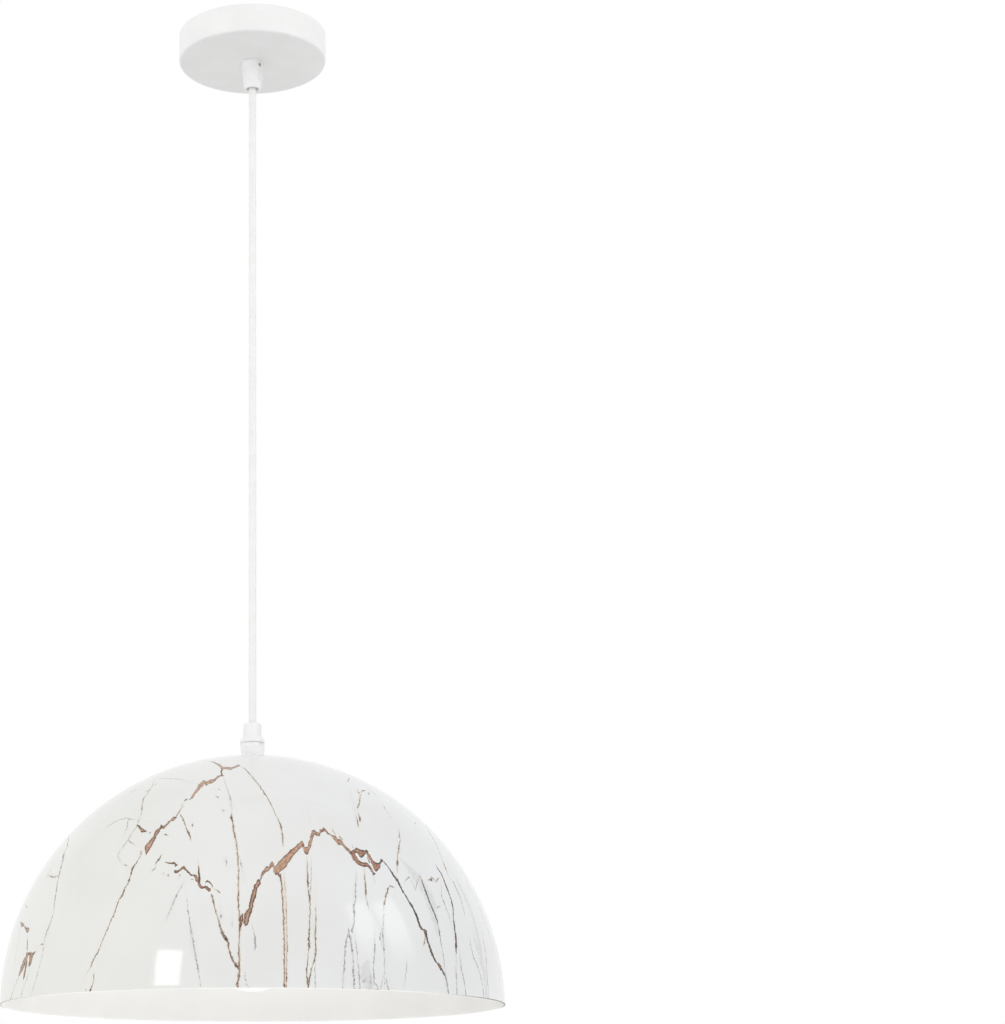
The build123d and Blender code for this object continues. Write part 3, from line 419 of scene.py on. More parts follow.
        (1032, 62, 4), (1036, 80, 8), (1048, 100, 7), (1052, 122, 4))),
    "arch_spike_b": ("brown", "down", "arch", (
        (1084, 116, 4), (1090, 136, 9), (1104, 142, 9), (1110, 160, 4))),
    "knot_low": ("dark", "across edges", "arch", (
        (1166, 240, 252), (1176, 240, 286), (1184, 234, 298), (1192, 228, 306), (1199, 262, 312),
        (1207, 268, 322), (1214, 276, 330), (1222, 290, 338), (1232, 303, 343), (1244, 314, 348),
        (1256, 320, 352), (1268, 322, 354), (1280, 324, 351), (1292, 325, 353), (1302, 332, 357),
        (1312, 345, 368), (1322, 356, 384), (1332, 372, 402), (1340, 385, 408), (1346, 398, 438),
        (1352, 402, 412))),
    "knot_top": ("dark", "across edges", "arch", (
        (1184, 228, 252), (1194, 224, 262), (1203, 221, 256), (1212, 211, 247), (1222, 213, 252),
        (1232, 221, 268), (1242, 225, 285), (1252, 226, 286), (1262, 227, 280), (1272, 233, 267),
        (1282, 231, 255), (1292, 225, 248), (1299, 240, 248))),
    "knot_link": ("dark", "across edges", "arch", (
        (1286, 230, 242), (1296, 243, 258), (1306, 257, 276), (1316, 271, 297), (1326, 287, 332),
        (1334, 301, 400), (1344, 311, 403), (1354, 320, 399), (1364, 324, 391), (1376, 328, 381),
        (1386, 322, 367), (1392, 301, 351), (1398, 297, 323), (1405, 299, 312), (1414, 306, 313))),
    "knot_hair": ("grey", "down", "brow", (
        (726, 942, 5), (733, 965, 9), (741, 1004, 5))),
    "drip_a_root": ("copper", "down", "arch", (
        (618, 398, 8), (632, 412, 22), (638, 432, 16), (643, 455, 10), (648, 490, 7), (652, 530, 4))),
    "drip_a": ("brown", "down", "crop", (
        (1115, 500, 4), (1121, 545, 5), (1124, 580, 5), (1127, 630, 5), (1130, 690, 5), (1132, 773, 5),
        (1132, 873, 5), (1132, 955, 5))),
    "drip_a_mate": ("brown", "down", "crop", (
        (1131, 480, 2), (1134, 540, 2), (1139, 600, 2), (1140, 650, 3), (1142, 707, 2), (1143, 757, 3),
        (1143, 813, 3), (1141, 873, 3), (1140, 893, 5), (1140, 907, 7), (1139, 922, 3), (1139, 955, 4))),
    "drip_a_stain": ("tan", "down", "crop", (
        (1118, 480, 4), (1128, 560, 9), (1133, 640, 10), (1136, 700, 11), (1137, 800, 11), (1136, 955, 10))),
    "plumb_stain": ("tan", "down", "crop", (
        (924, 270, 5), (932, 320, 6), (948, 430, 7), (950, 500, 7), (950, 600, 7), (953, 700, 7),
        (953, 800, 8), (952, 900, 9), (947, 955, 9))),
    "drip_b": ("brown", "down", "crop", (
        (1222, 418, 5), (1223, 454, 3), (1225, 490, 4), (1226, 527, 8), (1227, 559, 4), (1233, 592, 9),
        (1234, 610, 4), (1234, 644, 5), (1233, 686, 5), (1232, 722, 5), (1229, 752, 7), (1232, 777, 10),
        (1228, 800, 3), (1225, 835, 3), (1221, 873, 5), (1222, 898, 7), (1225, 925, 7), (1225, 955, 8))),
    "drip_b_side": ("grey", "down", "arch", (
        (875, 288, 7), (872, 430, 6), (866, 520, 6), (864, 602, 5))),
    "drip_c": ("brown", "down", "crop", (
        (1258, 605, 3), (1258, 650, 3), (1257, 686, 4), (1256, 727, 5), (1257, 773, 5), (1257, 800, 7),
        (1254, 827, 7), (1246, 853, 4), (1237, 886, 4), (1232, 917, 9), (1227, 936, 4))),
    "drip_c_side": ("grey", "down", "feet", (
        (370, 700, 6), (372, 850, 7), (372, 1000, 7))),
    "drip_d": ("brown", "down", "crop", (
        (1449, 470, 5), (1451, 506, 4), (1454, 540, 5), (1455, 570, 7), (1456, 590, 3))),
    "drip_d_end": ("grey", "down", "crop", (
        (1457, 590, 3), (1462, 615, 4), (1469, 640, 2))),
    "drip_e": ("grey", "down", "arch", (
        (1346, 405, 6), (1348, 440, 5), (1349, 480, 3))),
    "skein_a": ("grey", "down", "crop", (
        (1418, 487, 3), (1416, 533, 4), (1414, 575, 4), (1413, 604, 5), (1408, 627, 8), (1409, 665, 5),
        (1407, 694, 4), (1402, 715, 9), (1400, 730, 3))),
    "skein_b": ("grey", "down", "crop", (
        (1386, 706, 3), (1391, 738, 10), (1398, 769, 6), (1401, 798, 7), (1405, 825, 4), (1406, 865, 6),
        (1407, 907, 7), (1410, 958, 7))),
    "skein_c": ("grey", "down", "crop", (
        (1389, 716, 3), (1379, 752, 5), (1374, 786, 8), (1373, 810, 3), (1370, 850, 5), (1368, 880, 4))),
    "skein_mate": ("grey", "down", "feet", (
        (745, 480, 5), (765, 600, 10), (776, 720, 6), (784, 790, 8), (792, 860, 11), (796, 985, 7))),
    "skein_top": ("grey", "across", "feet", (
        (1066, 22, 4), (1085, 10, 9), (1110, 14, 12), (1130, 18, 6))),
    "skein_d": ("brown", "down", "crop", (
        (1549, 540, 3), (1544, 557, 6), (1536, 580, 6), (1529, 612, 5), (1526, 635, 2))),
    "skein_d_low": ("grey", "down", "crop", (
        (1528, 620, 4), (1525, 686, 4), (1523, 723, 6), (1524, 745, 6), (1527, 790, 4), (1529, 850, 3))),
    "skein_e": ("grey", "down", "feet", (
        (1003, 425, 4), (986, 485, 11), (992, 520, 13), (1006, 562, 5), (1026, 650, 4))),
    "skein_f": ("grey", "down", "feet", (
        (938, 450, 5), (938, 615, 11), (934, 700, 7), (922, 790, 9), (932, 850, 11), (934, 915, 13),
        (952, 940, 11), (968, 985, 12))),
    "skein_g": ("grey", "across", "feet", (
        (822, 926, 5), (845, 908, 20), (860, 893, 6))),
    "skein_h": ("grey", "down", "feet", (
        (898, 850, 5), (898, 910, 11), (895, 958, 6))),
    "skein_i": ("grey", "down", "feet", (
        (1032, 812, 10), (1018, 850, 6), (1003, 935, 5))),
    "skein_j": ("grey", "down", "feet", (
        (1033, 818, 5), (1050, 900, 8), (1058, 950, 9), (1070, 1004, 11))),
    "skein_smear_a": ("pale", "down", "feet", (
        (650, 700, 10), (648, 800, 34), (648, 900, 40), (640, 990, 20))),
    # Painted shade: a darker grey patch at the foot of the window pane's reflection.
    "painted_pane_shade": ("pale", "down", "feet", (
        (880, 680, 20), (850, 780, 110), (850, 860, 150), (880, 930, 150), (880, 1000, 60))),
    "rim_stain": ("brown", "across", "feet", (
        (738, 990, 4), (788, 988, 11), (800, 991, 5), (870, 994, 5), (930, 994, 8), (955, 994, 13),
        (985, 996, 15), (1000, 998, 6), (1040, 1000, 6), (1068, 1002, 14), (1086, 1003, 4))),
    "skein_k": ("grey", "down", "feet", (
        (1246, 690, 8), (1243, 770, 7), (1236, 830, 6))),
    "slide": ("dark", "down", "crop", (
        (1518, 438, 3), (1530, 452, 4), (1540, 462, 5), (1551, 476, 4), (1563, 497, 7), (1577, 516, 11),
        (1584, 528, 7), (1597, 554, 10), (1606, 570, 6), (1614, 583, 4), (1624, 600, 3), (1635, 616, 9),
        (1643, 629, 7), (1657, 660, 7), (1663, 683, 9), (1668, 698, 11), (1678, 712, 9), (1690, 720, 16),
        (1693, 730, 11), (1697, 752, 7), (1706, 775, 9), (1711, 789, 11), (1717, 806, 10), (1723, 823, 7),
        (1731, 840, 6), (1740, 850, 10), (1752, 866, 10), (1764, 889, 5))),
    "slide_foot": ("grey", "down", "crop", (
        (1764, 886, 4), (1772, 915, 6), (1778, 940, 6), (1786, 980, 5))),
    "slide_bead": ("brown", "down", "crop", (
        (1690, 736, 4), (1690, 743, 8), (1689, 752, 4), (1687, 772, 5), (1686, 780, 3))),
    "rib_c": ("brown", "down", "right", (
        (78, 130, 4), (86, 180, 8), (91, 205, 6), (86, 240, 5), (82, 262, 14), (76, 310, 4), (68, 365, 15),
        (71, 392, 5), (70, 455, 4))),
    "rib_d": ("grey", "across", "right", (
        (110, 518, 4), (130, 490, 6), (150, 467, 13), (160, 478, 7), (175, 510, 6), (192, 548, 13),
        (200, 545, 9), (212, 490, 5), (230, 456, 4))),
    "rib_b": ("dark", "down", "right", (
        (230, 455, 4), (245, 505, 5), (262, 555, 8), (285, 615, 9), (310, 680, 9), (325, 715, 9),
        (340, 755, 9), (355, 800, 5))),
    "rib_b_foot": ("grey", "down", "right", (
        (355, 796, 5), (362, 850, 15), (375, 920, 9), (390, 1010, 7), (402, 1130, 7), (425, 1275, 8))),
    "crackle": ("brown", "across", "right", (
        (276, 490, 4), (290, 486, 8), (304, 464, 13), (313, 486, 14), (325, 485, 10), (340, 502, 8),
        (352, 480, 10), (366, 473, 4))),
    "rib_top": ("grey", "down", "right", (
        (140, -12, 4), (230, 60, 7), (290, 150, 8), (330, 225, 9), (370, 310, 7), (386, 358, 6))),
    "rib_f": ("brown", "down", "right", (
        (383, 350, 5), (398, 385, 10), (412, 420, 9), (433, 475, 5))),
    "rib_g": ("grey", "down", "right", (
        (430, 462, 6), (462, 500, 14), (480, 550, 14), (505, 600, 10), (522, 650, 10), (540, 755, 4))),
    "rib_a": ("dark", "down", "right", (
        (336, 382, 4), (352, 410, 10), (372, 438, 11), (388, 475, 9), (402, 515, 16), (414, 540, 10),
        (430, 585, 8), (446, 630, 10), (456, 690, 7), (462, 770, 7), (466, 800, 13), (472, 850, 9),
        (476, 890, 16), (477, 940, 16), (478, 975, 10), (478, 1000, 4))),
    "rib_a_foot": ("grey", "down", "right", (
        (478, 990, 5), (478, 1120, 7), (483, 1220, 8), (487, 1300, 8))),
    "rib_e": ("grey", "down", "right", (
        (372, 488, 5), (376, 600, 9), (395, 640, 9), (410, 690, 9), (430, 730, 5), (446, 800, 6))),
    "rib_h": ("grey", "across", "right", (
        (333, 688, 5), (350, 676, 8), (372, 665, 7))),
    "rib_i": ("grey", "down", "right", (
        (503, 990, 6), (515, 1100, 11), (530, 1180, 10), (549, 1300, 9))),
    "edge_a": ("grey", "down", "right", (
        (533, 450, 5), (560, 520, 7), (600, 600, 7), (640, 680, 8), (670, 760, 9), (690, 810, 8),
        (720, 900, 7), (745, 1000, 5))),
    "edge_b": ("grey", "down", "right", (
        (652, 840, 5), (672, 930, 8), (686, 1010, 8), (690, 1110, 9), (698, 1210, 8), (706, 1330, 7))),
    "edge_c": ("grey", "down", "right", (
        (705, 880, 6), (735, 980, 7), (765, 1080, 7), (782, 1200, 7), (793, 1340, 6))),
    "edge_d": ("grey", "down", "right", (
        (573, 880, 6), (585, 960, 8), (602, 1030, 14), (618, 1060, 9), (650, 1150, 8), (672, 1300, 7))),
    "edge_e": ("grey", "down", "right", (
        (592, 850, 6), (625, 960, 8), (648, 1070, 7))),
    "edge_speck": ("grey", "down", "right", (
        (191, 76, 5), (195, 92, 10), (199, 106, 5))),
    "edge_smear": ("pale", "down", "right", (
        (420, 380, 20), (520, 560, 60), (600, 760, 60), (650, 1000, 70), (690, 1300, 60))),
    "right_smear": ("pale", "down", "right", (
        (60, 300, 30), (200, 460, 90), (290, 600, 110), (330, 760, 80), (350, 900, 30))),
    "brow_hook": ("brown", "down", "brow", (
        (686, 255, 5), (702, 275, 9), (693, 300, 11), (682, 314, 5))),
    "brow_pale": ("pale", "down", "brow", (
        (664, 280, 8), (684, 340, 16), (715, 440, 26), (750, 560, 30), (775, 660, 24), (795, 790, 16))),
    "brow_stalk": ("brown", "down", "brow", (
        (780, 376, 5), (796, 416, 11), (815, 448, 13), (812, 475, 4), (808, 490, 12), (805, 515, 4),
        (800, 542, 16), (792, 572, 18), (788, 592, 4))),
    "brow_arm": ("brown", "across", "brow", (
        (816, 446, 6), (830, 408, 10), (850, 400, 21), (862, 403, 13), (870, 392, 4))),
    "brow_side": ("grey", "across", "brow", (
        (876, 384, 6), (900, 388, 9), (930, 402, 8), (985, 455, 8), (1040, 535, 7), (1080, 600, 9),
        (1118, 660, 9), (1134, 692, 4))),
    "brow_low": ("brown", "down", "brow", (
        (797, 615, 4), (802, 655, 13), (806, 690, 23), (811, 712, 16), (813, 728, 4))),
    "brow_end": ("brown", "down", "brow", (
        (770, 635, 4), (780, 700, 9), (791, 742, 16), (796, 768, 12), (799, 788, 4))),
    "brow_speck": ("grey", "down", "brow", (
        (902, 412, 5), (903, 432, 13), (900, 455, 8))),
    "halo_c": ("pale", "across", "brow", (
        (60, 462, 8), (130, 478, 14), (230, 500, 16), (330, 530, 14), (420, 560, 16), (560, 605, 9),
        (640, 650, 12), (740, 712, 6))),
    "halo_b": ("grey", "across", "middle", (
        (216, 203, 4), (280, 206, 7), (340, 208, 7), (430, 213, 8), (520, 240, 4))),
    "left_line": ("grey", "down", "crop", (
        (286, 326, 2), (277, 357, 5), (271, 388, 7), (261, 405, 6), (257, 418, 11), (252, 448, 5),
        (245, 475, 7), (237, 507, 5), (229, 553, 6), (225, 580, 6), (221, 606, 5), (218, 640, 3),
        (206, 685, 4), (192, 720, 5), (183, 745, 6), (178, 770, 3))),
    "left_y": ("brown", "across", "left", (
        (384, 527, 5), (400, 512, 12), (415, 514, 12), (432, 521, 4))),
    "left_y_leg": ("brown", "down", "left", (
        (413, 535, 5), (425, 560, 11), (417, 590, 4))),
    "left_fine": ("grey", "down", "left", (
        (424, 570, 5), (400, 680, 8), (350, 860, 8), (300, 1030, 8), (296, 1050, 7))),
    "left_cross": ("grey", "down", "left", (
        (350, 576, 5), (325, 620, 7), (300, 720, 6), (265, 850, 7), (235, 930, 6), (205, 1045, 7))),
    "left_spot_a": ("copper", "across edges", "left", (
        (203, 285, 295), (212, 312, 344), (222, 304, 350), (232, 312, 342), (242, 320, 330),
        (248, 350, 368), (256, 350, 376), (264, 354, 400), (272, 352, 440), (280, 356, 400),
        (287, 362, 378))),
    "left_stem": ("brown", "down", "left", (
        (271, 436, 6), (272, 500, 14), (268, 560, 17), (266, 594, 14))),
    "left_head": ("copper", "across edges", "left", (
        (258, 600, 612), (266, 594, 622), (280, 590, 612), (292, 591, 612), (304, 592, 640),
        (318, 600, 640), (326, 598, 614), (335, 590, 604), (352, 576, 580))),
    "left_right_leg": ("copper", "down edges", "left", (
        (596, 298, 322), (620, 294, 322), (645, 290, 319), (670, 288, 313), (690, 285, 307),
        (705, 283, 299), (720, 284, 290))),
    "left_mid_leg": ("copper", "down edges", "left", (
        (596, 262, 290), (625, 256, 276), (650, 250, 272), (675, 244, 268), (700, 246, 266),
        (730, 247, 262), (760, 246, 257), (790, 237, 252), (820, 232, 244), (846, 232, 238))),
    "left_leg": ("copper", "down edges", "left", (
        (640, 246, 262), (655, 238, 262), (675, 230, 252), (700, 221, 245), (725, 211, 241),
        (750, 205, 233), (770, 199, 223), (785, 193, 211), (800, 190, 203), (814, 188, 193))),
    "left_tail": ("brown", "down", "left", (
        (196, 788, 8), (184, 830, 7), (170, 870, 6), (140, 950, 7), (100, 1065, 7))),
    "left_tail_b": ("grey", "down", "left", (
        (233, 846, 6), (232, 900, 6), (220, 960, 6), (204, 1045, 6))),
    "left_speck": ("grey", "down", "left", (
        (254, 120, 5), (265, 155, 15), (273, 178, 5))),
    "left_smear": ("pale", "down", "left", (
        (205, 260, 20), (200, 420, 30), (170, 560, 40), (150, 700, 30), (140, 800, 20))),
    "left_hook": ("brown", "across", "hook", (
        (168, 910, 4), (185, 930, 10), (200, 938, 11), (214, 946, 14), (226, 940, 12), (236, 932, 11),
        (248, 928, 9), (257, 936, 4))),
    "left_hook_leg": ("grey", "down", "hook", (
        (204, 845, 4), (180, 885, 8), (160, 925, 8), (132, 985, 5))),
    "hair_a": ("grey", "down", "crop", (
        (744, 585, 2), (752, 650, 4), (765, 730, 5), (780, 820, 5), (790, 870, 7), (798, 920, 3))),
    "hair_b": ("grey", "down", "crop", (
        (730, 530, 3), (700, 590, 5), (664, 678, 3))),
    "hair_c": ("grey", "down", "low", (
        (223, 165, 5), (245, 240, 8), (258, 330, 14), (262, 420, 18), (256, 475, 5))),
    "hair_d": ("grey", "down", "low", (
        (125, 720, 5), (140, 790, 8), (160, 870, 8), (178, 928, 5))),
    "hair_e": ("grey", "down", "crop", (
        (790, 440, 2), (793, 470, 4), (794, 500, 3))),
}


def in_crop(run, window, read):
    """A vein's points in pixels of the enlarged crop, from those of its window. They are rounded to
    tenths and then to whole pixels, and no width is less than one."""
    left, top, zoom = WINDOWS[window]
    starts = {
        "across": (left, top, 0), "down": (left, top, 0),
        "across edges": (left, top, top), "down edges": (top, left, left),
    }[run]
    return [
        tuple(max(1, round(round(start + value / zoom, 1))) for start, value in zip(starts, point))
        for point in read
    ]


def curve_of(graph, value, places, results):
    """A curve through (place, result) pairs, with straight runs between them."""
    made = graph.node("FloatCurve", {"Value": value})
    mapping = made.mapping
    mapping.use_clip = False
    pairs = sorted(zip(places, results))
    points = mapping.curves[0].points
    while len(points) < len(pairs):
        points.new(0.5, 0.5)
    for point, pair in zip(points, pairs):
        point.location = pair
        point.handle_type = "VECTOR"
    mapping.update()
    return made.outputs[0]


def slant(azimuths, heights, k, run):
    """How much longer a vein's width is along the axis that it is measured on than across it."""
    a, b = max(k - 1, 0), min(k + 1, len(heights) - 1)
    sideways = (azimuths[b] - azimuths[a]) * math.cos(heights[k])
    upward = heights[b] - heights[a]
    whole = math.hypot(sideways, upward)
    main = abs(upward if run == "down" else sideways)
    return min(whole / max(main, 1e-6), MOST_SLANT)


def angles_of(spots):
    """Azimuths and height angles of pixels of the crop, as seen on the dome."""
    found = [on_dome(*crop_to_left(x, y)) for x, y in spots]
    return [math.atan2(spot.x, -spot.y) for spot in found], [math.asin(spot.z) for spot in found]


def vein_between(graph, run, points, azimuth, height, across_mm):
    """How far a point is inside a vein that has two outlines, in millimetres; below zero outside.
    Just outside its ends the outlines are made to cross, so that the vein stops there."""
    down = run == "down edges"
    outlines = []
    for side in (1, 2):
        pixels = [(p[side], p[0]) if down else (p[0], p[side]) for p in points]
        azimuths, heights = angles_of(pixels)
        outlines.append(sorted(zip(heights, azimuths) if down else zip(azimuths, heights)))
    low = min(outline[0][0] for outline in outlines)
    high = max(outline[-1][0] for outline in outlines)
    reach = max(0.6 * MM / SHADE_R, (high - low) / 150)
    cross = 0.5 * MM / SHADE_R * (1 if down else -1)
    for end, place in ((0, low - reach), (-1, high + reach)):
        middle = (outlines[0][end][1] + outlines[1][end][1]) / 2
        for outline, way in zip(outlines, (1, -1)):
            outline.insert(0 if end == 0 else len(outline), (place, middle + way * cross))
    along, off, unit = (height, azimuth, across_mm) if down else (azimuth, height, SHADE_R / MM)
    first, second = (curve_of(graph, along, *zip(*outline)) for outline in outlines)
    gaps = [graph.math("SUBTRACT", off, first), graph.math("SUBTRACT", second, off)]
    if not down:
        gaps = [graph.math("SUBTRACT", first, off), graph.math("SUBTRACT", off, second)]
    return graph.math("MULTIPLY", graph.math("MINIMUM", *gaps), unit)


def vein_depth(graph, run, points, azimuth, height, across_mm, wobble):
    """How far inside a vein's edge a point is, in millimetres; below zero outside the vein."""
    azimuths, heights = angles_of([(x, y) for x, y, width in points])
    halves = [
        width / 2 / (CROP_ZOOM * RIGHT_ZOOM * PX_PER_MM) * slant(azimuths, heights, k, run)
        for k, (x, y, width) in enumerate(points)
    ]
    halves[0] = 0.0
    if run == "across" or min(heights) > math.radians(7):
        halves[-1] = 0.0
    along, places, off, targets, unit = (
        (height, heights, azimuth, azimuths, across_mm)
        if run == "down"
        else (azimuth, azimuths, height, heights, SHADE_R / MM)
    )
    centre = curve_of(graph, along, places, targets)
    half = graph.math("MULTIPLY", curve_of(graph, along, places, halves), wobble)
    gap = graph.math("ABSOLUTE", graph.math("SUBTRACT", off, centre))
    return graph.math("SUBTRACT", half, graph.math("MULTIPLY", gap, unit))


def dome_place(graph, ball, front):
    """Azimuth and height angle of a point of the dome, and the millimetres of a radian of azimuth.
    The back half repeats the front's azimuths."""
    spot = graph.node("SeparateXYZ", {"Vector": graph.vector("NORMALIZE", ball)}).outputs
    azimuth = graph.math(
        "ARCTAN2", graph.math("MULTIPLY", spot["X"], front), graph.math("ABSOLUTE", spot["Y"])
    )
    height = graph.math("ARCSINE", spot["Z"])
    return azimuth, height, graph.math("MULTIPLY", graph.math("COSINE", height), SHADE_R / MM)


def shake(graph, ball, scale, detail, rough):
    """Noise from -0.5 to 0.5 along each axis, to shift a point by."""
    return graph.vector("SUBTRACT", graph.noise(ball, scale, detail, rough, "Color"), (0.5, 0.5, 0.5))


def vein_depths(graph, ball, parts):
    """For each kind of vein, how far inside the nearest one a point is, in millimetres."""
    front = graph.math("SIGN", graph.math("MULTIPLY", parts["Y"], -1.0))
    behind = graph.step(front, -1.0, 1.0, 1.0, 0.0)
    slow = graph.scale(shake(graph, ball, 2.3, 1.0, 0.5), graph.math("MULTIPLY", behind, 0.45))
    jag = graph.scale(shake(graph, ball, 24.0, 3.0, 0.65), 0.008)
    nick = graph.scale(shake(graph, ball, 110.0, 2.0, 0.6), 0.012)
    shaken = graph.vector("ADD", graph.vector("ADD", ball, slow), graph.vector("ADD", jag, nick))
    place = dome_place(graph, shaken, front)
    wobble = graph.step(graph.noise(ball, 70.0, 2.0, 0.7), 0.3, 0.7, 0.7, 1.35)
    depths = {}
    for kind, run, window, read in VEINS.values():
        points = in_crop(run, window, read)
        if run.endswith("edges"):
            depth = vein_between(graph, run, points, *place)
        else:
            depth = vein_depth(graph, run, points, *place, wobble)
        depths[kind] = graph.math("MAXIMUM", depths[kind], depth) if kind in depths else depth
    return depths


def stone_colour(graph, ball, parts, cloud, broken, depths):
    """The white ground: painted warm light on the left and cool light on the right, with clouds, pale smears
    (one of them painted shade), grey smudges and stains.
    """
    # Painted light: a warm tint on the left side of the dome and a cool one on the right.
    side = graph.step(parts["X"], -0.8, 0.8)
    colour = graph.mix(side, (0.785, 0.787, 0.755, 1), (0.765, 0.775, 0.785, 1))
    colour = graph.mix(graph.step(cloud, 0.35, 0.75, 0.0, 0.5), colour, (0.72, 0.72, 0.70, 1))
    patchy = graph.step(broken, 0.3, 0.65, 0.35, 0.85)
    smear = graph.math("MULTIPLY", graph.step(depths["pale"], -0.6, 2.2), patchy)
    colour = graph.mix(smear, colour, (0.62, 0.62, 0.625, 1))
    here_and_there = graph.step(graph.noise(ball, 9.0, 3.0), 0.45, 0.7, 0.0, 0.25)
    smudge = graph.math("MULTIPLY", graph.step(depths["grey"], -3.0, 0.5), here_and_there)
    colour = graph.mix(smudge, colour, (0.58, 0.58, 0.56, 1))
    stain = graph.math("MAXIMUM", depths["copper"], depths["brown"])
    colour = graph.mix(graph.step(stain, -2.2, 0.2, 0.0, 0.16), colour, (0.74, 0.64, 0.48, 1))
    return graph.mix(graph.step(depths["tan"], -0.5, 0.5, 0.0, 0.55), colour, (0.74, 0.58, 0.46, 1))


def with_grey_veins(graph, colour, dash, depth):
    """Thin grey veins in dashes, darker inside."""
    line = graph.math("MULTIPLY", graph.step(depth, -0.22, 0.18), graph.step(dash, 0.38, 0.54, 0.3, 1.0))
    grey = graph.mix(graph.step(depth, 0.2, 0.75), (0.36, 0.35, 0.34, 1), (0.15, 0.145, 0.135, 1))
    return graph.mix(line, colour, grey)


def with_brown_veins(graph, colour, dash, broken, speckle, depth):
    """Thin brown veins, nearly black inside in places."""
    whole = graph.step(broken, 0.25, 0.58, 0.45, 1.0)
    line = graph.math("MULTIPLY", graph.step(depth, -0.16, 0.22), whole)
    core = graph.math("MULTIPLY", graph.step(depth, 0.08, 0.42), graph.step(dash, 0.36, 0.52, 0.35, 1.0))
    brown = graph.mix(core, (0.34, 0.22, 0.15, 1), (0.05, 0.026, 0.017, 1))
    brown = graph.mix(graph.step(speckle, 0.4, 0.7, 0.0, 0.4), brown, (0.42, 0.28, 0.19, 1))
    return graph.mix(line, colour, brown)


def with_filled_veins(graph, colour, speckle, depth, cover, band, outline, inside):
    """Wide veins with a dark outline round a speckled fill. Cover and band are the depths between
    which the vein starts to cover the ground and its outline gives way to the fill."""
    fill = graph.mix(graph.step(speckle, 0.38, 0.62), *inside)
    shaded = graph.mix(graph.step(depth, *band), outline, fill)
    return graph.mix(graph.step(depth, *cover), colour, shaded)


def marble_coat():
    """White gloss coat with copper, brown and grey veins drawn in the dome's own coordinates."""
    made, graph, shader = new_material("marble_coat", Specular_IOR_Level=0.5, IOR=1.45)
    ball = graph.scale(graph.vector("SUBTRACT", own_place(graph), tuple(DOME_CENTRE)), 1 / SHADE_R)
    parts = graph.node("SeparateXYZ", {"Vector": ball}).outputs
    depths = vein_depths(graph, ball, parts)
    cloud = graph.noise(ball, 3.2, 4.0)
    broken = graph.noise(ball, 60.0, 3.0, 0.7)
    speckle = graph.noise(ball, 150.0, 3.0, 0.75)
    dash = graph.noise(ball, 85.0, 2.0, 0.6)

    colour = stone_colour(graph, ball, parts, cloud, broken, depths)
    colour = with_grey_veins(graph, colour, dash, depths["grey"])
    colour = with_brown_veins(graph, colour, dash, broken, speckle, depths["brown"])
    colour = with_filled_veins(
        graph, colour, speckle, depths["copper"], (-0.22, 0.12, 0.0, 0.97), (0.4, 1.3),
        (0.115, 0.045, 0.022, 1), ((0.29, 0.145, 0.085, 1), (0.60, 0.38, 0.265, 1)),
    )
    colour = with_filled_veins(
        graph, colour, speckle, depths["dark"], (-0.3, 0.05, 0.0, 0.98), (0.45, 1.1),
        (0.035, 0.018, 0.012, 1), ((0.19, 0.075, 0.042, 1), (0.50, 0.27, 0.175, 1)),
    )
    graph.feed(shader.inputs["Base Color"], colour)
    graph.feed(shader.inputs["Roughness"], graph.step(cloud, 0.3, 0.7, 0.07, 0.11))
    graph.feed(shader.inputs["Normal"], graph.bump(graph.noise(ball, 110.0, 1.0), 0.004 * MM))
    return made


# Other materials

def make_materials():
    """Every material of the lamp, by the short name that the pieces use."""
    steel = (0.60, 0.61, 0.62)
    return {
        "marble": marble_coat(),
        "shade_inside": plain_surface("shade_inside", (0.86, 0.855, 0.84), 0.42, 0.06, 60, 0.6, 0.008),
        "shade_edge": rim_lip(),
        "canopy": plain_surface("canopy_coat", (0.86, 0.86, 0.855), 0.40, 0.05, 30, 0.5, 0.010),
        "grip": plain_surface(
            "grip_nylon", (0.895, 0.88, 0.875), 0.38, 0.06, 8, 0.25, 0.008, Subsurface_Weight=0.05),
        "cord": plain_surface("cord_sheath", (0.86, 0.86, 0.85), 0.42, 0.06, 12, 0.22, 0.006),
        "bush": plain_surface("bush_rubber", (0.74, 0.74, 0.72), 0.62, 0.08, 4, 0.2, 0.010),
        "zinc": plain_surface("zinc_plate", steel, 0.34, 0.10, 5, 0.25, 0.006, metal=1.0),
        "brass": plain_surface("brass_bar", (0.80, 0.62, 0.30), 0.28, 0.08, 4, 0.2, 0.005, metal=1.0),
        "block": plain_surface("block_nylon", (0.86, 0.85, 0.80), 0.48, 0.08, 8, 0.3, 0.010),
        "brown_core": plain_surface("brown_core", (0.16, 0.07, 0.035), 0.36, 0.06, 5, 0.2, 0.004),
        "blue_core": plain_surface("blue_core", (0.05, 0.14, 0.42), 0.36, 0.06, 5, 0.2, 0.004),
        "earth_core": earth_sleeve(),
        "holder": plain_surface("holder_plastic", (0.83, 0.83, 0.81), 0.30, 0.06, 14, 0.4, 0.010),
        "ceramic": plain_surface("insert_ceramic", (0.84, 0.83, 0.78), 0.22, 0.08, 6, 0.35, 0.012),
        "bulb_metal": plain_surface(
            "bulb_cap_metal", (0.72, 0.72, 0.73), 0.24, 0.08, 6, 0.3, 0.006, metal=1.0),
        "bulb_glass": plain_surface("bulb_insulator_glass", (0.02, 0.02, 0.022), 0.12, 0.04, 4, 0.4, 0.01),
        "bulb_body": plain_surface("bulb_body", (0.85, 0.85, 0.84), 0.40, 0.06, 20, 0.35, 0.010),
        "bulb_opal": plain_surface(
            "bulb_opal", (0.80, 0.78, 0.765), 0.36, 0.05, 25, 0.3, 0.006, Subsurface_Weight=0.05),
        "board": plain_surface("light_board", (0.80, 0.80, 0.78), 0.5, 0.08, 10, 0.3, 0.01),
    }


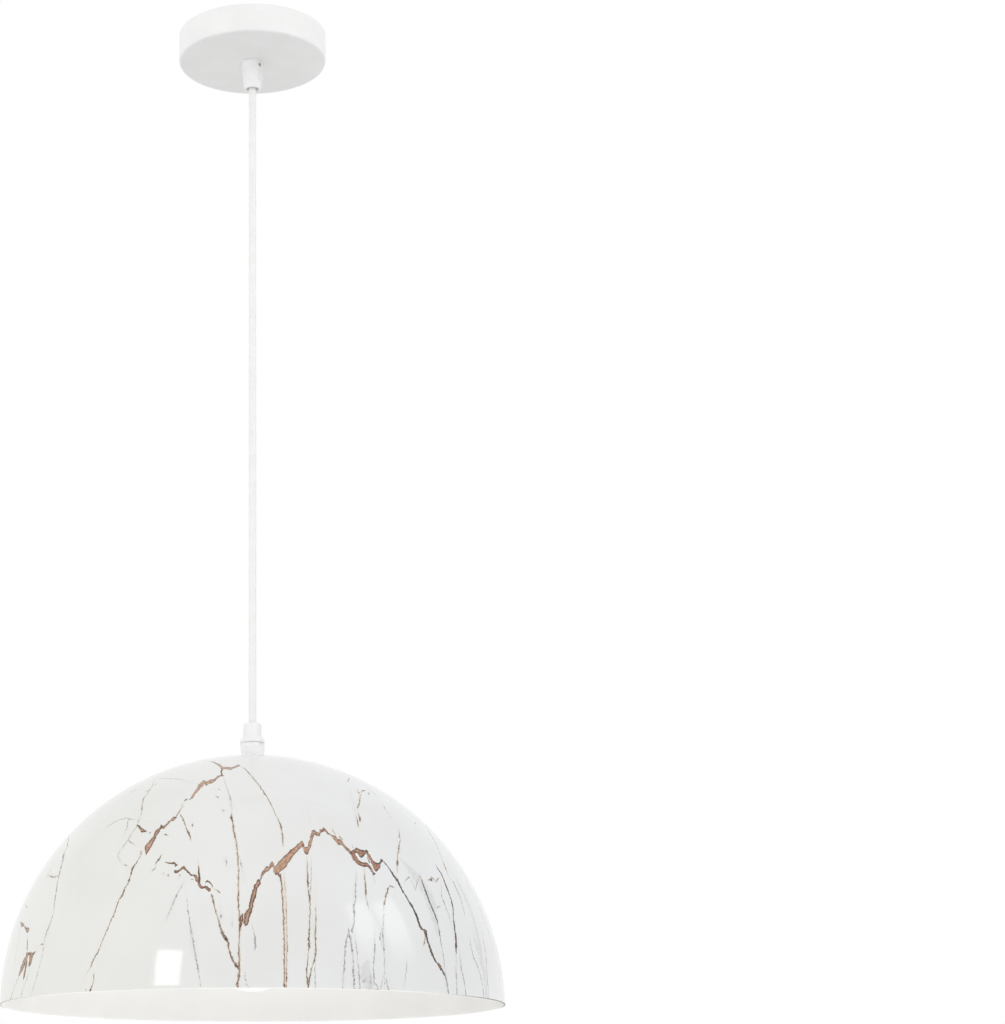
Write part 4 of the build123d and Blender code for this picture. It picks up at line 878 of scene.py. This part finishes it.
def rim_lip():
    """The narrow lip of the rim: white, with painted shade in dark grey on its near half towards both sides.
    """
    made, graph, shader = new_material("shade_edge")
    place = own_place(graph)
    parts = graph.node("SeparateXYZ", {"Vector": place}).outputs
    worn = graph.noise(place, 900.0)
    # Painted shade: the lip turns dark grey on its near half towards both ends.
    left = graph.step(parts["X"], -0.172, -0.130, 0.6, 0.0)
    right = graph.step(parts["X"], 0.105, 0.165, 0.0, 1.0)
    near = graph.step(parts["Y"], -0.02, 0.03, 1.0, 0.0)
    painted_shade = graph.math("MULTIPLY", graph.math("MAXIMUM", left, right), near)
    colour = graph.mix(painted_shade, (0.88, 0.88, 0.87, 1), (0.16, 0.16, 0.155, 1))
    graph.feed(shader.inputs["Base Color"], colour)
    graph.feed(shader.inputs["Roughness"], graph.step(worn, 0.3, 0.7, 0.3, 0.42))
    graph.feed(shader.inputs["Normal"], graph.bump(worn, 0.004 * MM))
    return made


def earth_sleeve():
    """Green and yellow stripes along the earth core."""
    made, graph, shader = new_material("earth_core")
    place = own_place(graph)
    parts = graph.node("SeparateXYZ", {"Vector": place}).outputs
    around = graph.math("SINE", graph.math("MULTIPLY", graph.math("ADD", parts["X"], parts["Z"]), 2200.0))
    worn = graph.noise(place, 900.0)
    green = graph.mix(worn, (0.04, 0.24, 0.05, 1), (0.06, 0.32, 0.07, 1))
    striped = graph.mix(graph.step(around, -0.15, 0.15), green, (0.78, 0.66, 0.05, 1))
    graph.feed(shader.inputs["Base Color"], striped)
    graph.feed(shader.inputs["Roughness"], graph.step(worn, 0.3, 0.7, 0.32, 0.44))
    graph.feed(shader.inputs["Normal"], graph.bump(worn, 0.005 * MM))
    return made


# Mesh building

def rounded(corners, steps=6):
    """An outline with its corners rounded: corners are (x, y, radius), and a radius of 0 stays sharp."""
    points = []
    count = len(corners)
    for i, (x, y, radius) in enumerate(corners):
        here = Vector((x, y))
        if radius == 0:
            points.append(here)
            continue
        before = (Vector(corners[i - 1][:2]) - here).normalized()
        after = (Vector(corners[(i + 1) % count][:2]) - here).normalized()
        half = math.acos(max(-1, min(1, before.dot(after)))) / 2
        reach = radius / math.tan(half)
        middle = here + (before + after).normalized() * (radius / math.sin(half))
        start, end = here + before * reach, here + after * reach
        a = math.atan2(*(start - middle).yx)
        turn = (math.atan2(*(end - middle).yx) - a + math.pi) % (2 * math.pi) - math.pi
        for k in range(steps + 1):
            angle = a + turn * k / steps
            points.append(middle + radius * Vector((math.cos(angle), math.sin(angle))))
    return [(p.x, p.y) for p in points]


def add_object(name, data):
    made = bpy.data.objects.new(name, data)
    bpy.context.scene.collection.objects.link(made)
    return made


def finish_mesh(name, bm, sharp=35):
    """Cleans a mesh up, shades it smooth with its sharp edges kept, and puts it in the scene."""
    bmesh.ops.remove_doubles(bm, verts=bm.verts, dist=1e-7)
    bmesh.ops.dissolve_degenerate(bm, edges=bm.edges, dist=1e-8)
    bmesh.ops.recalc_face_normals(bm, faces=bm.faces)
    mesh = bpy.data.meshes.new(name)
    bm.to_mesh(mesh)
    bm.free()
    mesh.shade_smooth()
    mesh.set_sharp_from_angle(angle=math.radians(sharp))
    return add_object(name, mesh)


def arc(radius, centre, start, end, rows):
    """Points (radius, height) along an arc round a centre on the axis."""
    angles = [start + (end - start) * k / rows for k in range(rows + 1)]
    return [(radius * math.cos(angle), centre + radius * math.sin(angle)) for angle in angles]


def upright(radius, start, end, rows):
    """Points (radius, height) along a wall that stands parallel to the axis."""
    return [(radius, start + (end - start) * k / rows) for k in range(rows + 1)]


def lathe(name, outline, segments=128, radius_at=None, closed=True):
    """A mesh turned about the lamp's axis. The outline holds (radius, height) in metres; radius_at
    may change a radius by its height and angle, for a thread."""
    bm = bmesh.new()
    rings = []
    for i in range(segments):
        angle = 2 * math.pi * i / segments
        ring = []
        for radius, z in outline:
            r = radius_at(radius, z, angle) if radius_at else radius
            ring.append(bm.verts.new((r * math.cos(angle), r * math.sin(angle), z)))
        rings.append(ring)
    last = len(outline) if closed else len(outline) - 1
    for i in range(segments):
        here, there = rings[i], rings[(i + 1) % segments]
        for k in range(last):
            m = (k + 1) % len(outline)
            bm.faces.new((here[k], there[k], there[m], here[m]))
    return finish_mesh(name, bm)


def box_piece(name, low, high, turn=None):
    """A box between two corners, turned if a matrix is given."""
    bm = bmesh.new()
    bmesh.ops.create_cube(bm, size=1.0)
    low, high = Vector(low), Vector(high)
    for v in bm.verts:
        v.co = Vector([low[i] if v.co[i] < 0 else high[i] for i in range(3)])
    if turn:
        bm.transform(turn)
    return finish_mesh(name, bm)


def ring_of_boxes(name, count, low, high):
    """The same box a number of times round the axis."""
    turns = [Matrix.Rotation(2 * math.pi * k / count, 4, "Z") for k in range(count)]
    return [box_piece(name, low, high, turn) for turn in turns]


def carve(piece, cutters, operation="DIFFERENCE", sharp=35):
    """Cuts the cutters out of the piece, or joins them to it, and removes them."""
    for cutter in cutters:
        modifier = piece.modifiers.new("cut", "BOOLEAN")
        modifier.operation = operation
        modifier.solver = "EXACT"
        modifier.object = cutter
    bpy.context.view_layer.update()
    shaped = piece.evaluated_get(bpy.context.evaluated_depsgraph_get())
    mesh = bpy.data.meshes.new_from_object(shaped)
    piece.modifiers.clear()
    piece.data = mesh
    mesh.shade_smooth()
    mesh.set_sharp_from_angle(angle=math.radians(sharp))
    for cutter in cutters:
        bpy.data.objects.remove(cutter)
    return piece


def place_piece(piece, body, material, slot, *nodes):
    """Gives a piece its material and body, and hides the CAD nodes that it stands for."""
    if not piece.data.materials:
        piece.data.materials.append(material)
    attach(piece, body)
    if nodes:
        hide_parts(*nodes)
    return piece


# The lamp's pieces

def make_shade(mats):
    """The half sphere: marble outside, white inside, and a narrow edge at the rim with painted shade at its
    near ends.
    """
    wall, flat_r, hole_r, edge = 1.0 * MM, 12.0 * MM, 5.2 * MM, 0.42 * MM
    inner_r = SHADE_R - wall
    rows = 96
    low = edge / SHADE_R
    outer = arc(SHADE_R, RIM, low, math.acos(flat_r / SHADE_R), rows)
    crown_inner = CROWN - wall
    inner = arc(inner_r, RIM, math.asin((crown_inner - RIM) / inner_r), low, rows)
    bead = 0.3 * MM
    rim_edge = [
        (inner_r + 0.25 * bead, RIM + 0.1 * bead),
        (inner_r + bead, RIM),
        (SHADE_R - bead, RIM),
        (SHADE_R - 0.25 * bead, RIM + 0.1 * bead),
    ]
    outline = outer + [(hole_r, CROWN), (hole_r, crown_inner)] + inner + rim_edge
    piece = lathe("shade_shell", outline, 288)
    for key in ("marble", "shade_inside", "shade_edge"):
        piece.data.materials.append(mats[key])
    for face in piece.data.polygons:
        spot = face.center
        radius = (spot - DOME_CENTRE).length
        height = spot.z - RIM
        if height < edge * 1.01:
            face.material_index = 2
        elif spot.z > crown_inner + wall / 2 or radius > SHADE_R - wall / 2:
            face.material_index = 0
        else:
            face.material_index = 1
    return place_piece(piece, "shade_end", None, "shade_marble", "shade")


def make_canopy(mats):
    """Shallow cup with rounded edges, open towards the ceiling."""
    r, low, high, wall = CANOPY_R, CANOPY_LOW.z, CANOPY_HIGH.z, 1.0 * MM
    outline = rounded([
        (5.2 * MM, low, 0), (r, low, 1.8 * MM), (r, high, 0.35 * MM), (r - wall, high, 0.35 * MM),
        (r - wall, low + wall, 0.9 * MM), (5.2 * MM, low + wall, 0),
    ])
    piece = lathe("canopy_cup", outline, 224)
    return place_piece(piece, "ceiling_end", mats["canopy"], "canopy_paint", "canopy")


PAD_TURN = math.radians(-41)


def pad_matrix():
    """Turns a block built along +X so that it points the way the grips' flat pads face."""
    return Matrix.Rotation(PAD_TURN, 4, "Z")


def make_canopy_grip(mats):
    """Tapered upper grip with its flat pad and the recess of the grub screw."""
    low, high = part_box("canopy_grip")
    top, mouth = high.z, low.z
    top_r, mouth_out, mouth_in = 8.4 * MM, 6.3 * MM, 4.2 * MM
    outline = rounded([
        (5.0 * MM, top, 0), (top_r, top, 0.25 * MM), (mouth_out, mouth, 0.8 * MM),
        (mouth_in + 0.8 * MM, mouth, 0.25 * MM), (mouth_in, mouth + 0.8 * MM, 0.2 * MM),
        (mouth_in, mouth + 5.4 * MM, 0), (2.9 * MM, mouth + 5.4 * MM, 0),
        (2.9 * MM, top - 11.5 * MM, 0), (5.0 * MM, top - 10.5 * MM, 0),
    ])
    piece = lathe("canopy_grip_body", outline, 96)
    pad_h, pad_half, face = 15.0 * MM, 2.85 * MM, 7.6 * MM
    turn = pad_matrix()
    pad = box_piece("pad", (5.6 * MM, -pad_half, top - pad_h), (face, pad_half, top - 0.02 * MM), turn)
    carve(piece, [pad], "UNION")
    shave = box_piece("shave", (face, -pad_half, top - pad_h), (face + 3 * MM, pad_half, top + MM), turn)
    recess = grub_hole(top - 3.3 * MM, turn)
    carve(piece, [shave, recess])
    return place_piece(piece, "ceiling_end", mats["grip"], "grip_plastic", "canopy_grip")


def grub_hole(level, turn):
    """A cutter for the recess of the grub screw."""
    bm = bmesh.new()
    bmesh.ops.create_cone(bm, cap_ends=True, segments=32, radius1=1.5 * MM, radius2=1.5 * MM, depth=8 * MM)
    bm.transform(turn @ Matrix.Translation((8 * MM, 0, level)) @ Matrix.Rotation(math.pi / 2, 4, "Y"))
    return finish_mesh("recess", bm)


def make_lower_grip(mats):
    """The serrated cap and base of the lower grip."""
    low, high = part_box("shade_grip_cap")
    mouth, seam = high.z, low.z
    turn = pad_matrix()
    flare_r, waist_r, top_r, mouth_in = 8.8 * MM, 6.8 * MM, 6.5 * MM, 4.2 * MM
    waist = mouth - 9.0 * MM
    flare = mouth - 13.4 * MM
    cove = []
    for k in range(1, 12):
        t = k / 12
        blend = t * t * (3 - 2 * t)
        cove.append((waist_r + (flare_r - waist_r) * blend, waist + (flare - waist) * t, 0))
    outline = rounded([
        (mouth_in, mouth, 0.3 * MM), (top_r, mouth, 2.3 * MM), (waist_r, waist, 0),
        *cove, (flare_r, flare, 0.5 * MM), (flare_r, seam, 0.15 * MM), (5.5 * MM, seam, 0),
        (5.5 * MM, seam + 6.3 * MM, 0), (2.9 * MM, seam + 7.0 * MM, 0),
        (2.9 * MM, mouth - 5.4 * MM, 0), (mouth_in, mouth - 5.4 * MM, 0),
    ])
    cap = lathe("shade_grip_cap_body", outline, 144)
    teeth = 36
    pad = box_piece("pad", (6.2 * MM, -2.5 * MM, mouth - 10 * MM), (9 * MM, 2.5 * MM, mouth + MM), turn)
    notch_low = (6.9 * MM, -0.375 * MM, seam - 0.2 * MM)
    notch_high = (9.4 * MM, 0.375 * MM, seam + 0.7 * MM)
    carve(cap, [pad] + ring_of_boxes("notch", teeth, notch_low, notch_high))
    place_piece(cap, "shade_end", mats["grip"], "grip_plastic", "shade_grip_cap")

    foot_r, ring = 7.6 * MM, seam - 2.6 * MM
    outline = rounded([
        (5.0 * MM, CROWN, 0), (foot_r, CROWN, 0.25 * MM), (flare_r, ring, 0.5 * MM),
        (flare_r, seam, 0.15 * MM), (5.4 * MM, seam, 0), (5.4 * MM, seam + 6.0 * MM, 0.3 * MM),
        (3.1 * MM, seam + 6.0 * MM, 0.3 * MM), (3.1 * MM, CROWN + 8.6 * MM, 0),
        (5.0 * MM, CROWN + 8.6 * MM, 0),
    ])
    base = lathe("shade_grip_base_body", outline, 144)
    flat = box_piece("flat", (7.9 * MM, -9 * MM, CROWN - MM), (10 * MM, 9 * MM, seam + 0.02 * MM), turn)
    carve(base, [flat])
    tooth_low = (7.0 * MM, -0.225 * MM, seam - 0.1 * MM)
    tooth_high = (7.9 * MM, 0.225 * MM, seam + 0.5 * MM)
    carve(base, ring_of_boxes("tooth", teeth, tooth_low, tooth_high), "UNION")
    place_piece(base, "shade_end", mats["grip"], "grip_plastic", "shade_grip_base")


def make_cord(mats):
    """The free cord: one straight, taut run between the two grips."""
    route = [(0, 0, UPPER_PIVOT + (LOWER_PIVOT - UPPER_PIVOT) * k / 4) for k in range(5)]
    data = bpy.data.curves.new("hanging_cord", "CURVE")
    data.dimensions = "3D"
    spline = data.splines.new("NURBS")
    spline.points.add(len(route) - 1)
    for point, spot in zip(spline.points, route):
        point.co = (*spot, 1)
    spline.order_u = 3
    spline.use_endpoint_u = True
    spline.resolution_u = 24
    data.bevel_depth = CORD_R
    data.bevel_resolution = 10
    data.use_fill_caps = True
    data.materials.append(mats["cord"])
    cord = add_object("hanging_cord", data)
    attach(cord, "hanging_cord")
    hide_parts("cord")


def make_bulb(mats):
    """Opal bowl of the bulb, and its screwed cap."""
    low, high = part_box("bulb_lens")
    bowl_r, rise = high.x, 8.5 * MM
    centre = low.z + bowl_r
    rows, wall = 48, 1.6 * MM
    inner_r = bowl_r - wall
    bottom = -math.pi / 2
    outer = arc(bowl_r, centre, bottom, math.asin(rise / bowl_r), rows)
    inner = arc(inner_r, centre, math.asin(rise / inner_r), bottom, rows)
    lens = lathe("bulb_bowl", outer + inner, 128, closed=False)
    place_piece(lens, "bulb", mats["bulb_opal"], "bulb_opal", "bulb_lens")

    low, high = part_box("bulb_cap")
    pitch, swell = 3.63 * MM, 0.35 * MM
    shell_r, thick = high.x - swell, 0.4 * MM
    rows = 66
    mouth_r = 11.1 * MM
    outline = [(mouth_r, high.z), (shell_r - 0.6 * MM, high.z)]
    outline += upright(shell_r, high.z - 0.5 * MM, low.z, rows)
    outline += upright(shell_r - thick, low.z, high.z - 0.6 * MM, rows)
    outline += [(mouth_r, high.z - thick)]

    def screwed(radius, z, angle):
        if radius < shell_r - 0.5 * MM:
            return radius
        fade = max(0.0, min(1.0, (high.z - 1.5 * MM - z) / (2 * MM), (z - low.z - 3 * MM) / (2 * MM)))
        return radius + swell * fade * math.sin(2 * math.pi * z / pitch - angle)

    cap = lathe("bulb_cap_shell", outline, 96, screwed)
    place_piece(cap, "bulb", mats["bulb_metal"], "bulb_metal", "bulb_cap")


def thread_tube(name, node, body, material, slot):
    """A hollow tube with a fine screw thread outside."""
    pitch, depth = 1.0 * MM, 0.3 * MM
    low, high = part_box(node)
    outer_r, bore = high.x, 3.6 * MM
    rows = int((high.z - low.z) / (pitch / 8))
    edge = 0.4 * MM
    outline = [(bore, high.z), (outer_r - edge, high.z)]
    outline += upright(outer_r, high.z - edge, low.z + edge, rows)
    outline += [(outer_r - edge, low.z), (bore, low.z)]

    def screwed(radius, z, angle):
        if radius < outer_r - edge / 2:
            return radius
        wave = abs(((z / pitch - angle / (2 * math.pi)) % 1.0) * 2 - 1)
        return radius - depth * wave

    made = lathe(name, outline, 72, screwed)
    return place_piece(made, body, material, slot, node)


NODE_LOOKS = {
    "ceiling_bracket": "zinc", "canopy_tube_nuts": "zinc", "canopy_grip_screw": "zinc",
    "canopy_grip_bush": "bush", "shade_grip_bush": "bush", "cord_entry": "cord", "cord_exit": "cord",
    "terminal_block": "block", "terminal_barrels": "brass", "terminal_screws": "zinc",
    "canopy_core_live": "brown_core", "canopy_core_neutral": "blue_core", "canopy_core_earth": "earth_core",
    "earth_stud": "zinc", "earth_tag": "brass", "earth_nuts": "zinc", "earth_link": "earth_core",
    "shade_washer": "zinc", "shade_nut": "zinc", "holder_cap": "holder", "holder_insert": "ceramic",
    "holder_screws": "brass", "holder_contact": "brass", "holder_shell": "brass", "holder_skirt": "holder",
    "holder_core_live": "brown_core", "holder_core_neutral": "blue_core",
    "holder_core_earth": "earth_core", "bulb_eye": "bulb_metal",
    "bulb_insulator": "bulb_glass", "bulb_housing": "bulb_body", "bulb_board": "board",
    "shade": "shade_inside", "canopy": "canopy", "canopy_tube": "zinc", "shade_tube": "zinc",
    "canopy_grip": "grip", "shade_grip_cap": "grip", "shade_grip_base": "grip", "cord": "cord",
    "bulb_lens": "bulb_opal", "bulb_cap": "bulb_metal",
}


def dress_nodes(mats):
    """Gives every CAD node its procedural material."""
    for name, look in NODE_LOOKS.items():
        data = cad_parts[name].data
        data.materials.clear()
        data.materials.append(mats[look])


# Light and floor

def make_world():
    """White light all round, a little dimmer from above; plain white to the camera and in gloss."""
    world = bpy.data.worlds.new("studio")
    bpy.context.scene.world = world
    world.use_nodes = True
    graph = Graph(world.node_tree)
    tree = world.node_tree
    for node in list(tree.nodes):
        tree.nodes.remove(node)
    seen = graph.node("LightPath").outputs
    way = graph.node("TexCoord").outputs["Generated"]
    up = graph.node("SeparateXYZ", {"Vector": way}).outputs["Z"]
    level = graph.step(up, 0.05, 0.7, 1.03, 0.87)
    light = graph.node("Background", {"Color": (1, 1, 1, 1), "Strength": level})
    plain = graph.node("Background", {"Color": (1, 1, 1, 1), "Strength": 1.0})
    direct = graph.math("MAXIMUM", seen["Is Camera Ray"], seen["Is Transmission Ray"])
    direct = graph.math("MAXIMUM", direct, seen["Is Glossy Ray"])
    mixed = graph.node("MixShader")
    graph.feed(mixed.inputs[0], direct)
    graph.feed(mixed.inputs[1], light.outputs[0])
    graph.feed(mixed.inputs[2], plain.outputs[0])
    out = graph.node("OutputWorld")
    graph.feed(out.inputs["Surface"], mixed.outputs[0])


def reflected(x, y):
    """The dome's point under a pixel, and the way in which the camera sees it reflect."""
    way = camera_ray(x, y)
    normal = on_dome(x, y)
    return DOME_CENTRE + normal * SHADE_R, way - 2 * way.dot(normal) * normal


def area_lamp(name, shape, size, power, at, way, colour=(1.0, 1.0, 1.0)):
    """A lamp at a place, shining along a direction, that the camera doesn't see."""
    data = bpy.data.lights.new(name, "AREA")
    data.shape = shape
    data.size, data.size_y = size
    data.energy = power
    data.color = colour
    made = add_object(name, data)
    made.location = at
    made.rotation_euler = way.to_track_quat("-Z", "Y").to_euler()
    made.visible_camera = False


def under_lamp(name, at, size, power, colour):
    """A round lamp below the shade that lights its inside. The shade keeps most of it off the canopy."""
    area_lamp(name, "DISK", (size, size), power, at, DOME_CENTRE - Vector(at), colour)


# Pixels of the left view on which the dome reflects the window and its two soft panes
LEFT_BOX_PX = (167.5, 971)
PANE_LEFT_PX = (369, 937)
PANE_RIGHT_PX = (399, 938)
LAMP_AWAY = 2.5
UNDER_LEVEL = RIM - 1.15


def soft_pane(name, pixel, size, level):
    """A glowing pane whose reflection in the dome falls on a pixel, with edges that fade out."""
    spot, way = reflected(*pixel)
    bm = bmesh.new()
    bmesh.ops.create_grid(bm, x_segments=2, y_segments=2, size=0.5)
    turn = (-way).to_track_quat("-Z", "Y").to_matrix().to_4x4()
    bm.transform(Matrix.Diagonal((*size, 1, 1)))
    pane = finish_mesh(name, bm)
    pane.matrix_world = Matrix.Translation(spot + way * LAMP_AWAY) @ turn
    made, graph = new_material(name)[:2]
    parts = graph.node("SeparateXYZ", {"Vector": own_place(graph)}).outputs
    wide, high = size[0] / 2, size[1] / 2
    across = graph.step(graph.math("ABSOLUTE", parts["X"]), wide * 0.7, wide, 1.0, 0.0)
    rising = graph.step(parts["Y"], -high, high * 0.5)
    falling = graph.step(parts["Y"], high * 0.8, high, 1.0, 0.0)
    fade = graph.math("MULTIPLY", across, graph.math("MULTIPLY", rising, falling))
    glow = graph.node("Emission", {"Strength": graph.step(fade, 0.0, 1.0, 1.0, level)})
    graph.feed(made.node_tree.nodes["Material Output"].inputs["Surface"], glow.outputs[0])
    pane.data.materials.append(made)
    pane.visible_camera = False


def make_lights():
    """The window that the dome reflects, two lamps for its inside and the two soft panes."""
    spot, way = reflected(*LEFT_BOX_PX)
    area_lamp("left_box", "RECTANGLE", (0.52, 0.78), 8.5, spot + way * LAMP_AWAY, -way)
    under_lamp("under_right", (0.26, -0.1, UNDER_LEVEL), 0.36, 5.8, (1.0, 1.0, 1.0))
    under_lamp("under_left", (-0.2, -0.15, UNDER_LEVEL), 0.30, 1.9, (1.0, 0.95, 0.87))
    soft_pane("pane_left", PANE_LEFT_PX, (0.58, 1.45), 3.3)
    soft_pane("pane_right", PANE_RIGHT_PX, (0.66, 1.45), 3.3)


def make_floor():
    """A plain pale floor that keeps the lamp's shadow; seen from underneath it is clear."""
    drop, half = 1.3, 6.0
    bm = bmesh.new()
    bmesh.ops.create_grid(bm, x_segments=8, y_segments=8, size=half)
    bm.transform(Matrix.Translation((0, 0, RIM - drop)))
    floor = finish_mesh("floor", bm)
    made, graph, shader = new_material("floor_white", Roughness=0.9)
    place = own_place(graph)
    tone = graph.noise(place, 1.5, 3.0)
    graph.feed(shader.inputs["Base Color"], graph.mix(tone, (0.80, 0.80, 0.80, 1), (0.84, 0.84, 0.84, 1)))
    glow = graph.node("Emission", {"Color": (1, 1, 1, 1), "Strength": 1.0})
    seen = graph.node("LightPath").outputs
    mixed = graph.node("MixShader")
    graph.feed(mixed.inputs[0], graph.math("MULTIPLY", seen["Is Camera Ray"], 0.75))
    graph.feed(mixed.inputs[1], shader.outputs[0])
    graph.feed(mixed.inputs[2], glow.outputs[0])
    below = graph.node("MixShader")
    graph.feed(below.inputs[0], graph.node("NewGeometry").outputs["Backfacing"])
    graph.feed(below.inputs[1], graph.node("BsdfTransparent").outputs[0])
    graph.feed(below.inputs[2], mixed.outputs[0])
    graph.feed(made.node_tree.nodes["Material Output"].inputs["Surface"], below.outputs[0])
    floor.data.materials.append(made)


make_camera()
MATS = make_materials()
dress_nodes(MATS)
make_cord(MATS)
make_shade(MATS)
make_canopy(MATS)
make_canopy_grip(MATS)
make_lower_grip(MATS)
make_bulb(MATS)
thread_tube("canopy_tube_thread", "canopy_tube", "ceiling_end", MATS["zinc"], "zinc_steel")
thread_tube("shade_tube_thread", "shade_tube", "shade_end", MATS["zinc"], "zinc_steel")
make_world()
make_lights()
make_floor()
bpy.context.scene.view_settings.view_transform = "Standard"
